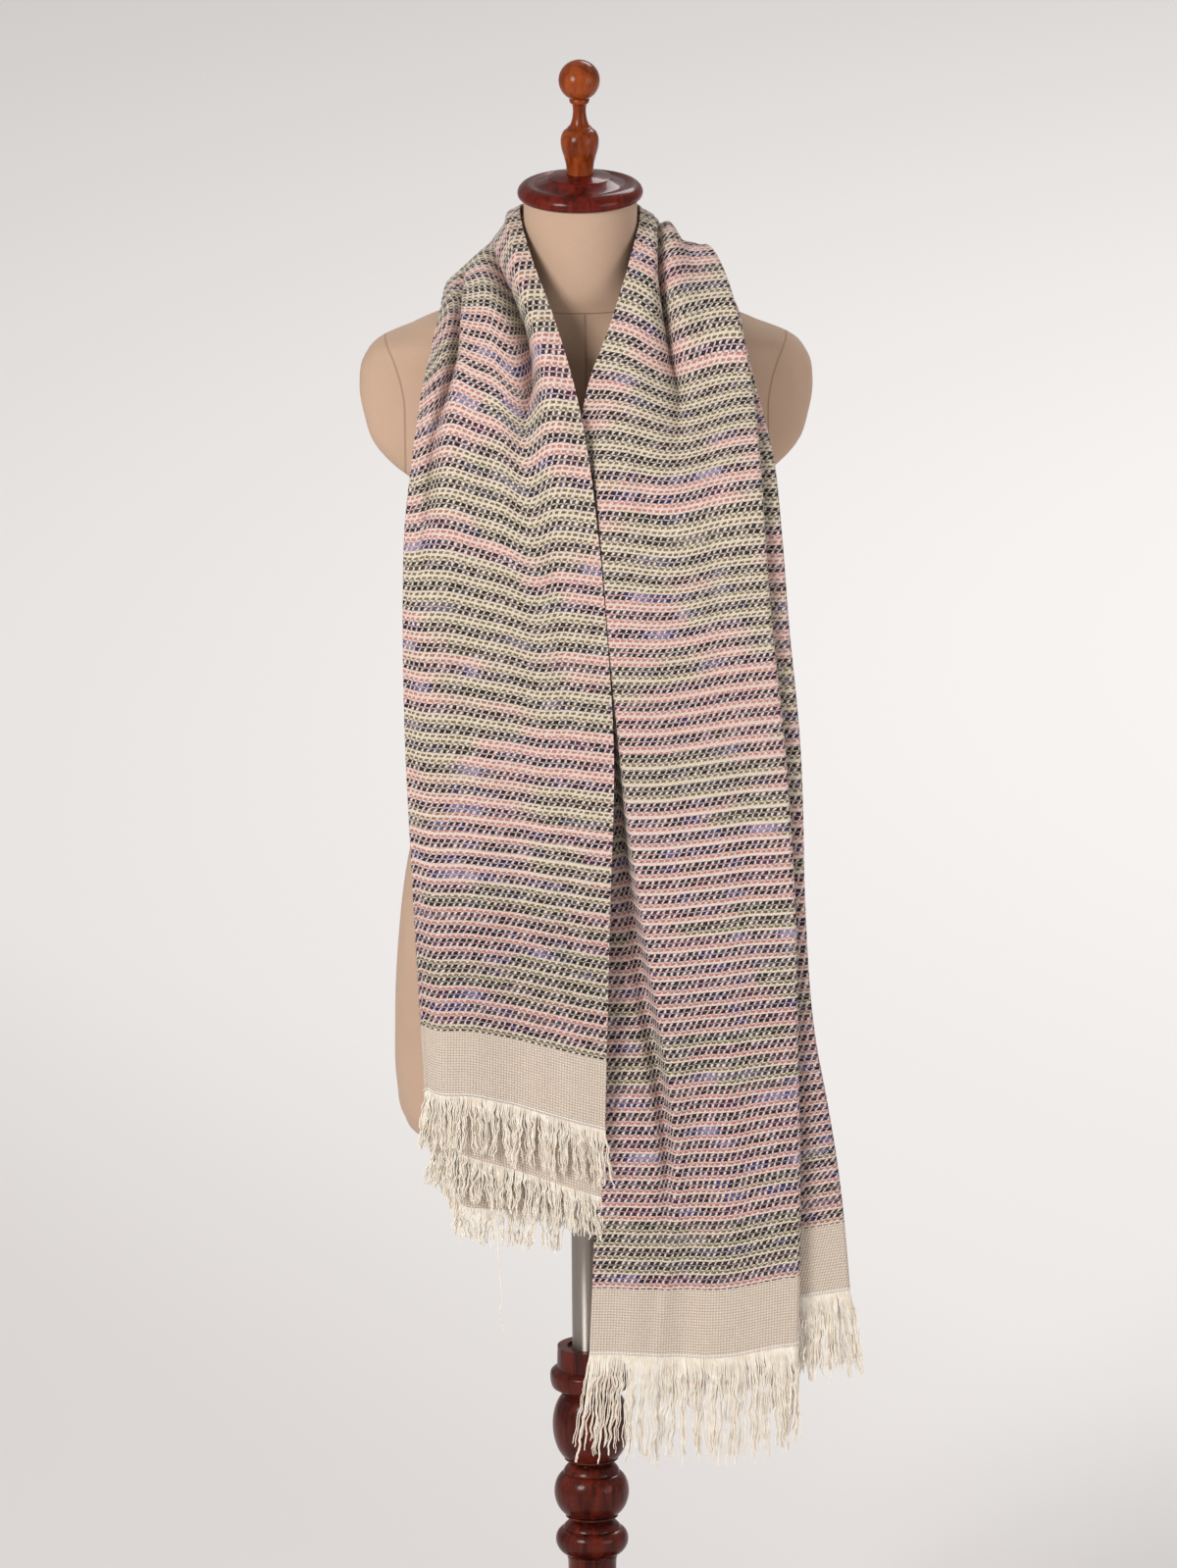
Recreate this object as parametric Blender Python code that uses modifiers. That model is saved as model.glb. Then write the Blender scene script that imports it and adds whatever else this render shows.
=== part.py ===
"""Pashmina shawl draped round the neck of a limbless dress form on a turned stand.

Metres, +Z up. The origin is the centre of the stand's underside, and the form faces -Y.
The shawl is one long woven sheet. Its short end hangs at -X and its long end at +X. The
sheet is laid in four layers, and it runs from the short end, up over one shoulder, round
the back of the neck and down the other side.
"""
import math
import random

import bmesh
import bpy
import numpy as np
from mathutils import Vector

# Shawl
WALL = 0.0016            # thickness of the woven wool
SEAM_GAP = 0.0003        # parting between neighbouring solids
FRINGE_GAP = 0.0010      # parting between the band and the backing, along the warp
BAND = 0.066             # plain cream band at each end
BACKING = 0.004          # strip that holds the roots of the fringe
SHORT_FRINGE = 0.060     # length of the fringe at the short end, where it is crimped
LONG_FRINGE = 0.092      # and at the long end
FRINGE_VARIES = 0.012    # how much one strand may be longer or shorter
STRANDS = 66             # strands at each end
STATIONS = 12            # places along the backing for each strand
STRAND_FROM = 3          # the stations where a strand starts and ends
STRAND_TO = 10
STRAND_WAVE = 0.0012     # how far a strand bends aside
STRAND_TAPER = 0.86      # its size at the bend
FRONT_STEPS = 15         # sheet samples across the front layer
BACK_STEPS = 4           # and across each hidden layer
TURN_STEPS = 4           # and round each fold
HANGING_SECTIONS = 0.080 # spacing of the sections where the shawl hangs
NECK_SECTIONS = 0.025    # and where it bends round the neck
NECK_FROM = 0.70         # the neck stretch, by distance from the short end's hem
NECK_TO = 1.32
NEARBY = 0.003           # step along the shawl for reading its direction

# Form, pole and stand
FORM_UNDERSIDE = 0.630
NECK_TOP = 1.5472
CAP_TOP = 1.572
FORM_SIDES = 28
TURNED_SIDES = 20
POLE_RADIUS = 0.0172
POLE_FOOT = 0.4126
BASE_HEIGHT = 0.042

# Where the shawl lies, one row a section, from the short end to the long end: its inner
# edge beside the neck and its outer fold, as x, y, z.
DRAPE_COLUMNS = ("inner_x", "inner_y", "inner_z", "outer_x", "outer_y", "outer_z")
DRAPE = (
    (0.0157, -0.150, 0.6745, -0.1520, -0.146, 0.7208),
    (0.0222, -0.150, 0.8880, -0.1610, -0.146, 0.9180),
    (0.0270, -0.150, 1.0470, -0.1665, -0.145, 1.0670),
    (0.0209, -0.149, 1.1700, -0.1670, -0.142, 1.1850),
    (0.0142, -0.146, 1.2560, -0.1650, -0.134, 1.2620),
    (0.0047, -0.133, 1.3360, -0.1590, -0.116, 1.3220),
    (-0.0077, -0.114, 1.3980, -0.1520, -0.098, 1.3711),
    (-0.0262, -0.090, 1.4570, -0.1440, -0.080, 1.4120),
    (-0.0450, -0.053, 1.5010, -0.1350, -0.050, 1.4475),
    (-0.0561, 0.003, 1.5310, -0.1240, 0.002, 1.4685),
    (-0.0470, 0.052, 1.5290, -0.0980, 0.088, 1.4160),
    (0.0000, 0.067, 1.5260, -0.0050, 0.128, 1.3980),
    (0.0470, 0.052, 1.5290, 0.0900, 0.092, 1.4420),
    (0.0568, 0.005, 1.5310, 0.1120, 0.012, 1.4900),
    (0.0450, -0.052, 1.4970, 0.1340, -0.046, 1.4680),
    (0.0271, -0.086, 1.4480, 0.1460, -0.080, 1.4400),
    (0.0061, -0.111, 1.3960, 0.1570, -0.104, 1.3880),
    (-0.0040, -0.133, 1.3360, 0.1630, -0.127, 1.3320),
    (0.0000, -0.146, 1.2560, 0.1677, -0.142, 1.2560),
    (0.0040, -0.149, 1.1700, 0.1730, -0.147, 1.1720),
    (0.0065, -0.150, 1.0600, 0.1836, -0.149, 1.0620),
    (0.0065, -0.150, 0.8920, 0.1932, -0.149, 0.8940),
    (0.0065, -0.150, 0.7490, 0.1950, -0.149, 0.7520),
    (0.0045, -0.150, 0.5720, 0.1960, -0.149, 0.5750),
    (-0.0010, -0.150, 0.4520, 0.1930, -0.149, 0.4518),
)

# How the layers lie, by distance along the shawl. gap is the layer spacing; the others
# are places across the front layer, 0 at its inner edge and 1 at its outer fold: the inner
# turn of layers two and three, the outer turn of layers three and four, and the free edge
# of layer four.
LAYER_COLUMNS = ("along", "gap", "inner_turn", "outer_turn", "free_edge")
LAYERS = (
    (0.00, 0.0070, 0.10, 0.88, 0.16),
    (0.60, 0.0070, 0.18, 0.86, 0.20),
    (0.78, 0.0050, 0.30, 0.82, 0.38),
    (1.01, 0.0055, 0.28, 0.94, 0.32),
    (1.17, 0.0064, 0.36, 1.22, 0.55),
    (1.28, 0.0066, 0.32, 1.03, 0.45),
    (1.40, 0.0068, 0.26, 1.08, 0.40),
    (1.68, 0.0070, 0.26, 1.08, 0.40),
    (1.85, 0.0070, 0.36, 1.05, 0.46),
    (1.99, 0.0070, 0.48, 1.085, 0.54),
    (2.08, 0.0070, 0.52, 1.14, 0.58),
    (2.18, 0.0070, 0.46, 1.20, 0.54),
    (2.30, 0.0070, 0.38, 1.26, 0.46),
)

# How far each fold of the hidden layers has slipped along the shawl, towards the short
# end: after the outer fold, before and after the inner turn, and at the outer turn.
SLIP_COLUMNS = ("outer_fold", "inner_before", "inner_after", "outer_turn", "free_edge")
SLIP_SHORT_END = (-0.014, -0.060, -0.072, -0.095, -0.086)
SLIP_LONG_END = (-0.012, -0.030, -0.034, -0.056, -0.060)
SLIP_FADES = (0.09, 0.42)    # distance from a hem where the slip starts and stops fading

# The largest folds in the front layer. Each is a table by distance along the shawl: its
# place across the layer and its depth, where a negative depth stands out as a roll.
FOLD_COLUMNS = ("along", "place", "depth")
SHORT_GROOVE = ((0.54, 0.33, 0.0), (0.66, 0.32, 0.010), (0.74, 0.30, 0.016),
                (0.84, 0.30, 0.016), (0.95, 0.34, 0.0))
SHORT_TUCK = ((0.60, 0.88, 0.0), (0.68, 0.83, 0.007), (0.84, 0.80, 0.008), (0.92, 0.78, 0.0))
SHORT_WAVE = ((0.00, 0.50, 0.0050), (0.25, 0.46, 0.0045), (0.50, 0.42, 0.0))
NAPE_ROLL = ((0.88, 0.55, 0.0), (0.97, 0.55, 0.010), (1.06, 0.55, 0.010), (1.14, 0.5, 0.0))
SHOULDER_ROLL = ((0.98, 0.45, 0.0), (1.08, 0.45, -0.005), (1.15, 0.45, -0.007), (1.22, 0.45, 0.0))
LONG_GROOVE = ((1.13, 0.42, 0.0), (1.21, 0.44, 0.010), (1.28, 0.46, 0.012),
               (1.34, 0.55, 0.008), (1.43, 0.57, 0.0))
LONG_WAVE = ((1.92, 0.58, 0.0), (2.06, 0.50, 0.009), (2.20, 0.46, 0.011), (2.30, 0.44, 0.009))
FOLDS = (
    # fold table, half width across the layer
    (SHORT_GROOVE, 0.085),
    (SHORT_TUCK, 0.050),
    (SHORT_WAVE, 0.130),
    (NAPE_ROLL, 0.110),
    (SHOULDER_ROLL, 0.200),
    (LONG_GROOVE, 0.080),
    (LONG_WAVE, 0.110),
)
# The long end's inner strip lies behind the ridge of its front panel.
RIDGE = ((1.30, 0.09, 0.001), (1.40, 0.10, 0.011), (1.48, 0.085, 0.017), (1.57, 0.09, 0.021),
         (1.68, 0.13, 0.024), (1.85, 0.23, 0.024), (1.99, 0.34, 0.019), (2.06, 0.38, 0.013),
         (2.16, 0.36, 0.007), (2.30, 0.30, 0.002))
RIDGE_SOFTNESS = 0.055
# Where the samples across the front layer lie closest together.
FOCUS_COLUMNS = ("along", "centre", "half_width")
FOCUS = ((0.00, 0.34, 0.16), (0.60, 0.32, 0.12), (0.92, 0.33, 0.12), (1.02, 0.36, 0.14),
         (1.20, 0.44, 0.14), (1.32, 0.46, 0.16), (1.40, 0.22, 0.16), (1.48, 0.10, 0.065),
         (1.57, 0.10, 0.065), (1.68, 0.13, 0.065), (1.85, 0.23, 0.07), (1.99, 0.34, 0.075),
         (2.06, 0.38, 0.08), (2.16, 0.36, 0.10), (2.30, 0.34, 0.14))
FOCUS_FROM = 0.1875
FOCUS_TO = 0.5625
HIDDEN_FOLD_SPREAD = 1.7     # hidden layers follow the front layer's folds more widely
# The short end's outer edge is rolled back in a soft turn.
EDGE_ROLL = ((-0.20, 0.88, 0.012), (0.60, 0.88, 0.012), (0.80, 0.90, 0.004), (0.90, 0.90, 0.0))

# Form: height, half width, depth in front, depth behind, and the extra reach of the
# padded arm cap.
FORM_COLUMNS = ("height", "half_width", "front", "back", "arm_cap")
FORM = (
    (0.630, 0.156, 0.094, 0.100, 0.0),
    (0.635, 0.168, 0.103, 0.109, 0.0),
    (0.650, 0.1795, 0.110, 0.117, 0.0),
    (0.680, 0.1855, 0.114, 0.123, 0.0),
    (0.740, 0.1868, 0.116, 0.126, 0.0),
    (0.820, 0.1830, 0.114, 0.124, 0.0),
    (0.900, 0.1730, 0.107, 0.113, 0.0),
    (0.990, 0.1490, 0.094, 0.096, 0.0),
    (1.060, 0.132, 0.088, 0.086, 0.0),
    (1.130, 0.138, 0.096, 0.088, 0.0),
    (1.200, 0.152, 0.114, 0.096, 0.0),
    (1.250, 0.162, 0.118, 0.100, 0.0),
    (1.280, 0.166, 0.112, 0.101, 0.0),
    (1.292, 0.168, 0.109, 0.101, 0.014),
    (1.310, 0.171, 0.103, 0.101, 0.028),
    (1.340, 0.174, 0.090, 0.099, 0.036),
    (1.370, 0.177, 0.076, 0.092, 0.037),
    (1.395, 0.180, 0.064, 0.080, 0.029),
    (1.412, 0.180, 0.061, 0.070, 0.014),
    (1.424, 0.166, 0.056, 0.063, 0.0),
    (1.438, 0.134, 0.051, 0.056, 0.0),
    (1.452, 0.096, 0.052, 0.054, 0.0),
    (1.464, 0.071, 0.055, 0.056, 0.0),
    (1.478, 0.0585, 0.056, 0.057, 0.0),
    (1.500, 0.0545, 0.0545, 0.0545, 0.0),
    (NECK_TOP, 0.0535, 0.0535, 0.0535, 0.0),
)
ARM_CAP_HALF_DEPTH = 0.050
FORM_SQUARENESS = 2.25
FORM_OFFSET_X = 0.004        # the body sits a little off the pole's axis
OFFSET_FADES = (1.40, 1.48)  # and its neck sits on it
NECK_ROUND_ABOVE = 1.44

# Turned pieces, from the top down: each row runs to the next height, bulging or hollowed
# to its middle radius.
TURNING_COLUMNS = ("lower_height", "middle_radius", "lower_radius", "samples")
POST_TURNING = (
    (0.3950, 0.0318, 0.0320, 1),
    (0.3915, 0.0350, 0.0370, 1),
    (0.3750, 0.0386, 0.0358, 3),
    (0.3665, 0.0298, 0.0268, 2),
    (0.3050, 0.0366, 0.0254, 6),
    (0.3025, 0.0260, 0.0250, 1),
    (0.2990, 0.0210, 0.0190, 2),
    (0.2895, 0.0250, 0.0262, 2),
    (0.2480, 0.0356, 0.0238, 5),
    (0.2450, 0.0252, 0.0240, 1),
    (0.2410, 0.0208, 0.0200, 2),
    (0.2340, 0.0256, 0.0268, 2),
    (0.2080, 0.0346, 0.0234, 4),
    (0.2040, 0.0240, 0.0234, 1),
    (0.0700, 0.0244, 0.0290, 2),
    (BASE_HEIGHT + SEAM_GAP, 0.0330, 0.0560, 3),
)
FINIAL_TURNING = (
    (1.6450, 0.0195, 0.0090, 6),
    (1.6400, 0.0105, 0.0082, 1),
    (1.6180, 0.0066, 0.0100, 3),
    (1.6130, 0.0150, 0.0160, 1),
    (1.5960, 0.0186, 0.0160, 3),
    (1.5800, 0.0138, 0.0122, 2),
    (CAP_TOP + SEAM_GAP, 0.0128, 0.0165, 2),
)
FINIAL_TOP = 1.6825
CAP_TURNING = (
    (1.5690, 0.0240, 0.0300, 2),
    (1.5620, 0.0345, 0.0435, 2),
    (1.5632, 0.0465, 0.0495, 2),
    (1.5475, 0.0592, 0.0530, 5),
)
BASE_TURNING = (
    (0.0360, 0.0900, 0.1500, 1),
    (0.0330, 0.1600, 0.1760, 2),
    (0.0000, 0.1960, 0.1820, 5),
)


def material(name, colour, roughness, metallic=0.0):
    made = bpy.data.materials.new(name)
    made.use_nodes = True
    shader = made.node_tree.nodes["Principled BSDF"]
    shader.inputs["Base Color"].default_value = (*colour, 1.0)
    shader.inputs["Roughness"].default_value = roughness
    shader.inputs["Metallic"].default_value = metallic
    made.diffuse_color = (*colour, 1.0)
    return made


def add_object(name, mesh, finish, collection):
    made = bpy.data.objects.new(name, mesh)
    mesh.materials.clear()
    mesh.materials.append(finish)
    collection.objects.link(made)
    return made


def smooth_rows(rows, where):
    """Read a table of rows at any distance, smoothly; past its ends it runs on straight."""
    table = np.array(rows, dtype=float)
    at, values = table[:, 0], table[:, 1:]
    slopes = np.gradient(values, at, axis=0)
    place = int(np.clip(np.searchsorted(at, where) - 1, 0, len(at) - 2))
    span = at[place + 1] - at[place]
    t = (where - at[place]) / span
    if t < 0.0:
        return values[0] + slopes[0] * (where - at[0])
    if t > 1.0:
        return values[-1] + slopes[-1] * (where - at[-1])
    start, end = values[place], values[place + 1]
    rise = end - start
    leave, arrive = slopes[place] * span, slopes[place + 1] * span
    return start + t * leave + t * t * (3 * rise - 2 * leave - arrive) \
        + t * t * t * (leave + arrive - 2 * rise)


def held_rows(rows, where):
    """Read a table as smooth_rows does, but hold its first and last rows past its ends."""
    first, last = rows[0][0], rows[-1][0]
    return smooth_rows(rows, min(max(where, first), last))


def distances_along(rows):
    """Put the distance along the middle of the shawl before each row of the drape."""
    table = np.array(rows)
    middles = (table[:, :3] + table[:, 3:]) / 2
    steps = np.linalg.norm(np.diff(middles, axis=0), axis=1)
    along = np.concatenate(([0.0], np.cumsum(steps)))
    return np.column_stack((along, table))


DRAPE_ALONG = distances_along(DRAPE)
SHAWL_LENGTH = float(DRAPE_ALONG[-1, 0])


def edge_points(along):
    row = smooth_rows(DRAPE_ALONG, along)
    return row[:3], row[3:]


def unit(vector):
    return vector / np.linalg.norm(vector)


def drape_frame(along):
    """Inner edge, direction to the outer fold, the outward direction and the width."""
    inner, outer = edge_points(along)
    ahead = sum(edge_points(along + NEARBY))
    behind = sum(edge_points(along - NEARBY))
    across = unit(outer - inner)
    outward = unit(np.cross(ahead - behind, across))
    return inner, across, outward, np.linalg.norm(outer - inner)


def bump(place, centre, half_width):
    return math.exp(-((place - centre) / half_width) ** 2)


def smooth_step(low, high, value):
    t = min(max((value - low) / (high - low), 0.0), 1.0)
    return t * t * (3 - 2 * t)


def relief(along, place, spread=1.0):
    """Depth of a layer below its plain surface, from its folds; hidden layers spread them."""
    place = min(max(place, 0.0), 1.0)
    depth = 0.0
    for fold, half_width in FOLDS:
        centre, deep = held_rows(fold, along)
        depth += deep * bump(place, centre, half_width * spread)
    if spread == 1.0:
        ridge, recess = held_rows(RIDGE, along)
        strip = 1 - smooth_step(ridge - RIDGE_SOFTNESS, ridge + RIDGE_SOFTNESS, place)
        depth += recess * strip
    roll_from, roll_depth = held_rows(EDGE_ROLL, along)
    roll_from = 1 - (1 - roll_from) * spread
    depth += roll_depth * max(0.0, (place - roll_from) / (1 - roll_from)) ** 2
    return depth


def front_place(along, share):
    """Place across the front layer of one of its samples, which crowd at its main fold."""
    centre, half_width = held_rows(FOCUS, along)
    shares = (0.0, FOCUS_FROM, FOCUS_TO, 1.0)
    places = (0.0, max(centre - half_width, 0.02), centre + half_width, 1.0)
    return float(np.interp(share, shares, places))


def weft_samples(front_steps=FRONT_STEPS, back_steps=BACK_STEPS, turn_steps=TURN_STEPS):
    """One row of the weave, as (kind, layer, share of the way across it)."""
    samples = []
    for layer, steps in enumerate((front_steps, back_steps, back_steps, back_steps)):
        samples += [("layer", layer, step / steps) for step in range(steps + 1)]
        if layer < 3:
            samples += [("turn", layer, step / turn_steps) for step in range(1, turn_steps)]
    return samples


def slip_at(along, layer, kind, share):
    """How far one sample of a row has slipped along the shawl."""
    toward = along / SHAWL_LENGTH
    from_hem = min(abs(along), abs(SHAWL_LENGTH - along))
    hold = 1 - smooth_step(*SLIP_FADES, from_hem)
    slips = [hold * (a + (b - a) * toward) for a, b in zip(SLIP_SHORT_END, SLIP_LONG_END)]
    starts = (0.0, slips[0], slips[2], slips[3])
    ends = (slips[0] * 0.5, slips[1], slips[3], slips[4])
    if kind == "turn":
        return ends[layer] + (starts[layer + 1] - ends[layer]) * share
    ramp = smooth_step(0.7, 1.0, share) if layer == 0 else share
    return starts[layer] + (ends[layer] - starts[layer]) * ramp


def weft_point(along, sample):
    """Place one sample of the weft row that crosses the front layer at this distance."""
    kind, layer, share = sample
    gap, inner_turn, outer_turn, free_edge = held_rows(LAYERS, along)
    starts = (0.0, 1.0, inner_turn, outer_turn)
    ends = (1.0, inner_turn, outer_turn, free_edge)
    level, reach = float(layer), 0.0
    if kind == "turn":
        angle = math.pi * share
        place = ends[layer]
        level += (1 - math.cos(angle)) / 2
        reach = math.sin(angle) * gap / 2 * (1 if layer % 2 == 0 else -1)
    elif layer == 0:
        place = front_place(along, share)
    else:
        place = starts[layer] + (ends[layer] - starts[layer]) * share
    there = along + slip_at(along, layer, kind, share)
    inner, across, outward, width = drape_frame(there)
    spread = 1 + (HIDDEN_FOLD_SPREAD - 1) * min(level, 1.0)
    depth = level * gap + relief(there, place, spread)
    return inner + across * (place * width + reach) - outward * depth


def shawl_stretch(name, start, end, spacing, finish, collection):
    """A stretch of the shawl: weft rows lofted into a wall, out to both sides of the sheet."""
    count = max(1, round((end - start) / spacing))
    samples = weft_samples()
    outside, inside = [], []
    wall = bmesh.new()
    for step in range(count + 1):
        along = start + (end - start) * step / count
        row = np.array([weft_point(along, sample) for sample in samples])
        before = np.array([weft_point(along - NEARBY, sample) for sample in samples])
        after = np.array([weft_point(along + NEARBY, sample) for sample in samples])
        normals = np.cross(after - before, np.gradient(row, axis=0))
        normals /= np.linalg.norm(normals, axis=1)[:, None]
        outside.append([wall.verts.new(point) for point in row + normals * WALL / 2])
        inside.append([wall.verts.new(point) for point in row - normals * WALL / 2])
    for rows in (outside, inside):
        for row, following in zip(rows, rows[1:]):
            for left in range(len(samples) - 1):
                near, far = row[left], following[left + 1]
                for corner in (following[left], row[left + 1]):
                    wall.faces.new((near, corner, far))
    for number in (0, count):
        edge = list(zip(outside[number], inside[number]))
        for (out_a, in_a), (out_b, in_b) in zip(edge, edge[1:]):
            wall.faces.new((out_a, out_b, in_b, in_a))
    for column in (0, len(samples) - 1):
        edge = [(row[column], back[column]) for row, back in zip(outside, inside)]
        for (out_a, in_a), (out_b, in_b) in zip(edge, edge[1:]):
            wall.faces.new((out_a, out_b, in_b, in_a))
    bmesh.ops.recalc_face_normals(wall, faces=wall.faces)
    mesh = bpy.data.meshes.new(name)
    wall.to_mesh(mesh)
    wall.free()
    mesh.shade_smooth()
    return add_object(name, mesh, finish, collection)


def even_along_weft(along):
    """One weft row as evenly spaced points, with the row's direction at each."""
    points = np.array([weft_point(along, sample) for sample in weft_samples()])
    lengths = np.concatenate(([0.0], np.cumsum(np.linalg.norm(np.diff(points, axis=0), axis=1))))
    places = np.linspace(0.0, lengths[-1], STRANDS * STATIONS + 1)
    spaced = np.column_stack([np.interp(places, lengths, points[:, axis]) for axis in range(3)])
    return spaced, np.gradient(spaced, axis=0)


def fringe(name, edge, away, length, finish, collection):
    """Backing strip with tapered four-sided strands, which hang on in the sheet's surface.

    away is -1 at the short end and 1 at the long end.
    """
    draws = random.Random(7 if away < 0 else 11)
    root = FRINGE_GAP + BACKING
    top, heading = even_along_weft(edge + away * FRINGE_GAP)
    low, _ = even_along_weft(edge + away * root)
    bend, _ = even_along_weft(edge + away * (root + length / 2))
    tip, _ = even_along_weft(edge + away * (root + length))
    stations = []
    for strand in range(STRANDS):
        stations += [strand * STATIONS + STRAND_FROM, strand * STATIONS + STRAND_TO]
    stations = [0] + stations[1:-1] + [STRANDS * STATIONS]
    strip = bmesh.new()
    rings = []
    for station in stations:
        down = unit(low[station] - top[station])
        out = unit(np.cross(down, heading[station])) * WALL / 2
        rings.append([strip.verts.new(point) for point in (
            top[station] + out, low[station] + out, low[station] - out, top[station] - out)])
    strip.faces.new(rings[0])
    strip.faces.new(list(reversed(rings[-1])))
    for number, (ring, following) in enumerate(zip(rings, rings[1:])):
        middle = (stations[number] + stations[number + 1]) // 2
        for side in range(4):
            other = (side + 1) % 4
            corners = (ring[side], following[side], following[other], ring[other])
            if side == 1 and number % 2 == 0:
                reach = 1 + draws.uniform(-FRINGE_VARIES, FRINGE_VARIES) / length
                waves = [draws.uniform(-STRAND_WAVE, STRAND_WAVE) for _ in range(2)]
                add_strand(strip, corners, Vector(bend[middle]), Vector(tip[middle]), reach, waves)
            else:
                strip.faces.new(corners)
    bmesh.ops.recalc_face_normals(strip, faces=strip.faces)
    mesh = bpy.data.meshes.new(name)
    strip.to_mesh(mesh)
    strip.free()
    return add_object(name, mesh, finish, collection)


def add_strand(strip, root, bend, tip, reach, waves):
    """One strand: from its root in the backing, through one bend, to a point."""
    centre = sum((corner.co for corner in root), Vector()) / 4
    along_row = (root[1].co - root[0].co).normalized()
    bend = centre.lerp(bend, reach) + along_row * waves[0]
    tip = centre.lerp(tip, reach) + along_row * waves[1]
    ring = [strip.verts.new(bend + (corner.co - centre) * STRAND_TAPER) for corner in root]
    point = strip.verts.new(tip)
    for side in range(4):
        other = (side + 1) % 4
        strip.faces.new((root[side], root[other], ring[other], ring[side]))
        strip.faces.new((ring[side], ring[other], point))


def form_ring(height):
    """One level ring of the form, as points round from +X."""
    half_width, front, back, arm_cap = smooth_rows(FORM, height)
    squareness = FORM_SQUARENESS if height < NECK_ROUND_ABOVE else 2.0
    points = []
    centre = FORM_OFFSET_X * (1 - smooth_step(*OFFSET_FADES, height))
    for side in range(FORM_SIDES):
        angle = 2 * math.pi * side / FORM_SIDES
        cosine, sine = math.cos(angle), math.sin(angle)
        depth = back if sine > 0 else front
        y = math.copysign(abs(sine) ** (2 / squareness) * depth, sine)
        reach = half_width * abs(cosine) ** (2 / squareness)
        if abs(cosine) > 0.5:
            reach += max(arm_cap, 0.0) * math.exp(-(y / ARM_CAP_HALF_DEPTH) ** 4)
        points.append((centre + math.copysign(reach, cosine), y, height))
    return points


def dress_form(collection, finish):
    """The padded body and neck, lofted from level rings and closed top and bottom."""
    body = bmesh.new()
    rings = [[body.verts.new(point) for point in form_ring(row[0])] for row in FORM]
    for ring, following in zip(rings, rings[1:]):
        for side in range(FORM_SIDES):
            other = (side + 1) % FORM_SIDES
            body.faces.new((ring[side], ring[other], following[other], following[side]))
    body.faces.new(list(reversed(rings[0])))
    body.faces.new(rings[-1])
    mesh = bpy.data.meshes.new("form_body")
    body.to_mesh(mesh)
    body.free()
    mesh.shade_smooth()
    return add_object("form_body", mesh, finish, collection)


def turned(name, top, turning, finish, collection, recess=None):
    """A lathe-turned piece: its profile, from the axis down its outer side, swept round."""
    top_height, top_radius = top
    profile = [(0.0, top_height), (top_radius, top_height)]
    if recess:
        recess_radius, recess_height = recess
        profile = [(0.0, recess_height), (recess_radius, recess_height),
                   (recess_radius, top_height), (top_radius, top_height)]
    if top_radius == 0.0:
        profile = [(0.0, top_height)]
    for lower, middle_radius, lower_radius, samples in turning:
        start_radius, start_height = profile[-1]
        bulge = middle_radius - (start_radius + lower_radius) / 2
        for sample in range(1, samples + 1):
            angle = math.pi * sample / samples
            share = (1 - math.cos(angle)) / 2
            radius = start_radius + (lower_radius - start_radius) * share + bulge * math.sin(angle)
            profile.append((radius, start_height + (lower - start_height) * share))
    profile.append((0.0, profile[-1][1]))
    mesh = bpy.data.meshes.new(name)
    points = [(radius, 0.0, height) for radius, height in profile]
    mesh.from_pydata(points, [(i, i + 1) for i in range(len(points) - 1)], [])
    made = add_object(name, mesh, finish, collection)
    lathe = made.modifiers.new("lathe", "SCREW")
    lathe.axis = "Z"
    lathe.angle = 2 * math.pi
    lathe.steps = TURNED_SIDES
    lathe.render_steps = TURNED_SIDES
    lathe.use_merge_vertices = True
    lathe.merge_threshold = 0.00001
    lathe.use_smooth_shade = True
    return made


def pole(collection, finish):
    top = FORM_UNDERSIDE - SEAM_GAP
    foot = POLE_FOOT + SEAM_GAP
    bpy.ops.mesh.primitive_cylinder_add(vertices=20, radius=POLE_RADIUS, depth=top - foot,
                                        location=(0.0, 0.0, (top + foot) / 2))
    made = bpy.context.object
    made.name = "stand_pole"
    made.data.materials.append(finish)
    for holder in list(made.users_collection):
        holder.objects.unlink(made)
    collection.objects.link(made)
    return made


def clear_scene():
    for item in list(bpy.data.objects):
        bpy.data.objects.remove(item, do_unlink=True)


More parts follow.
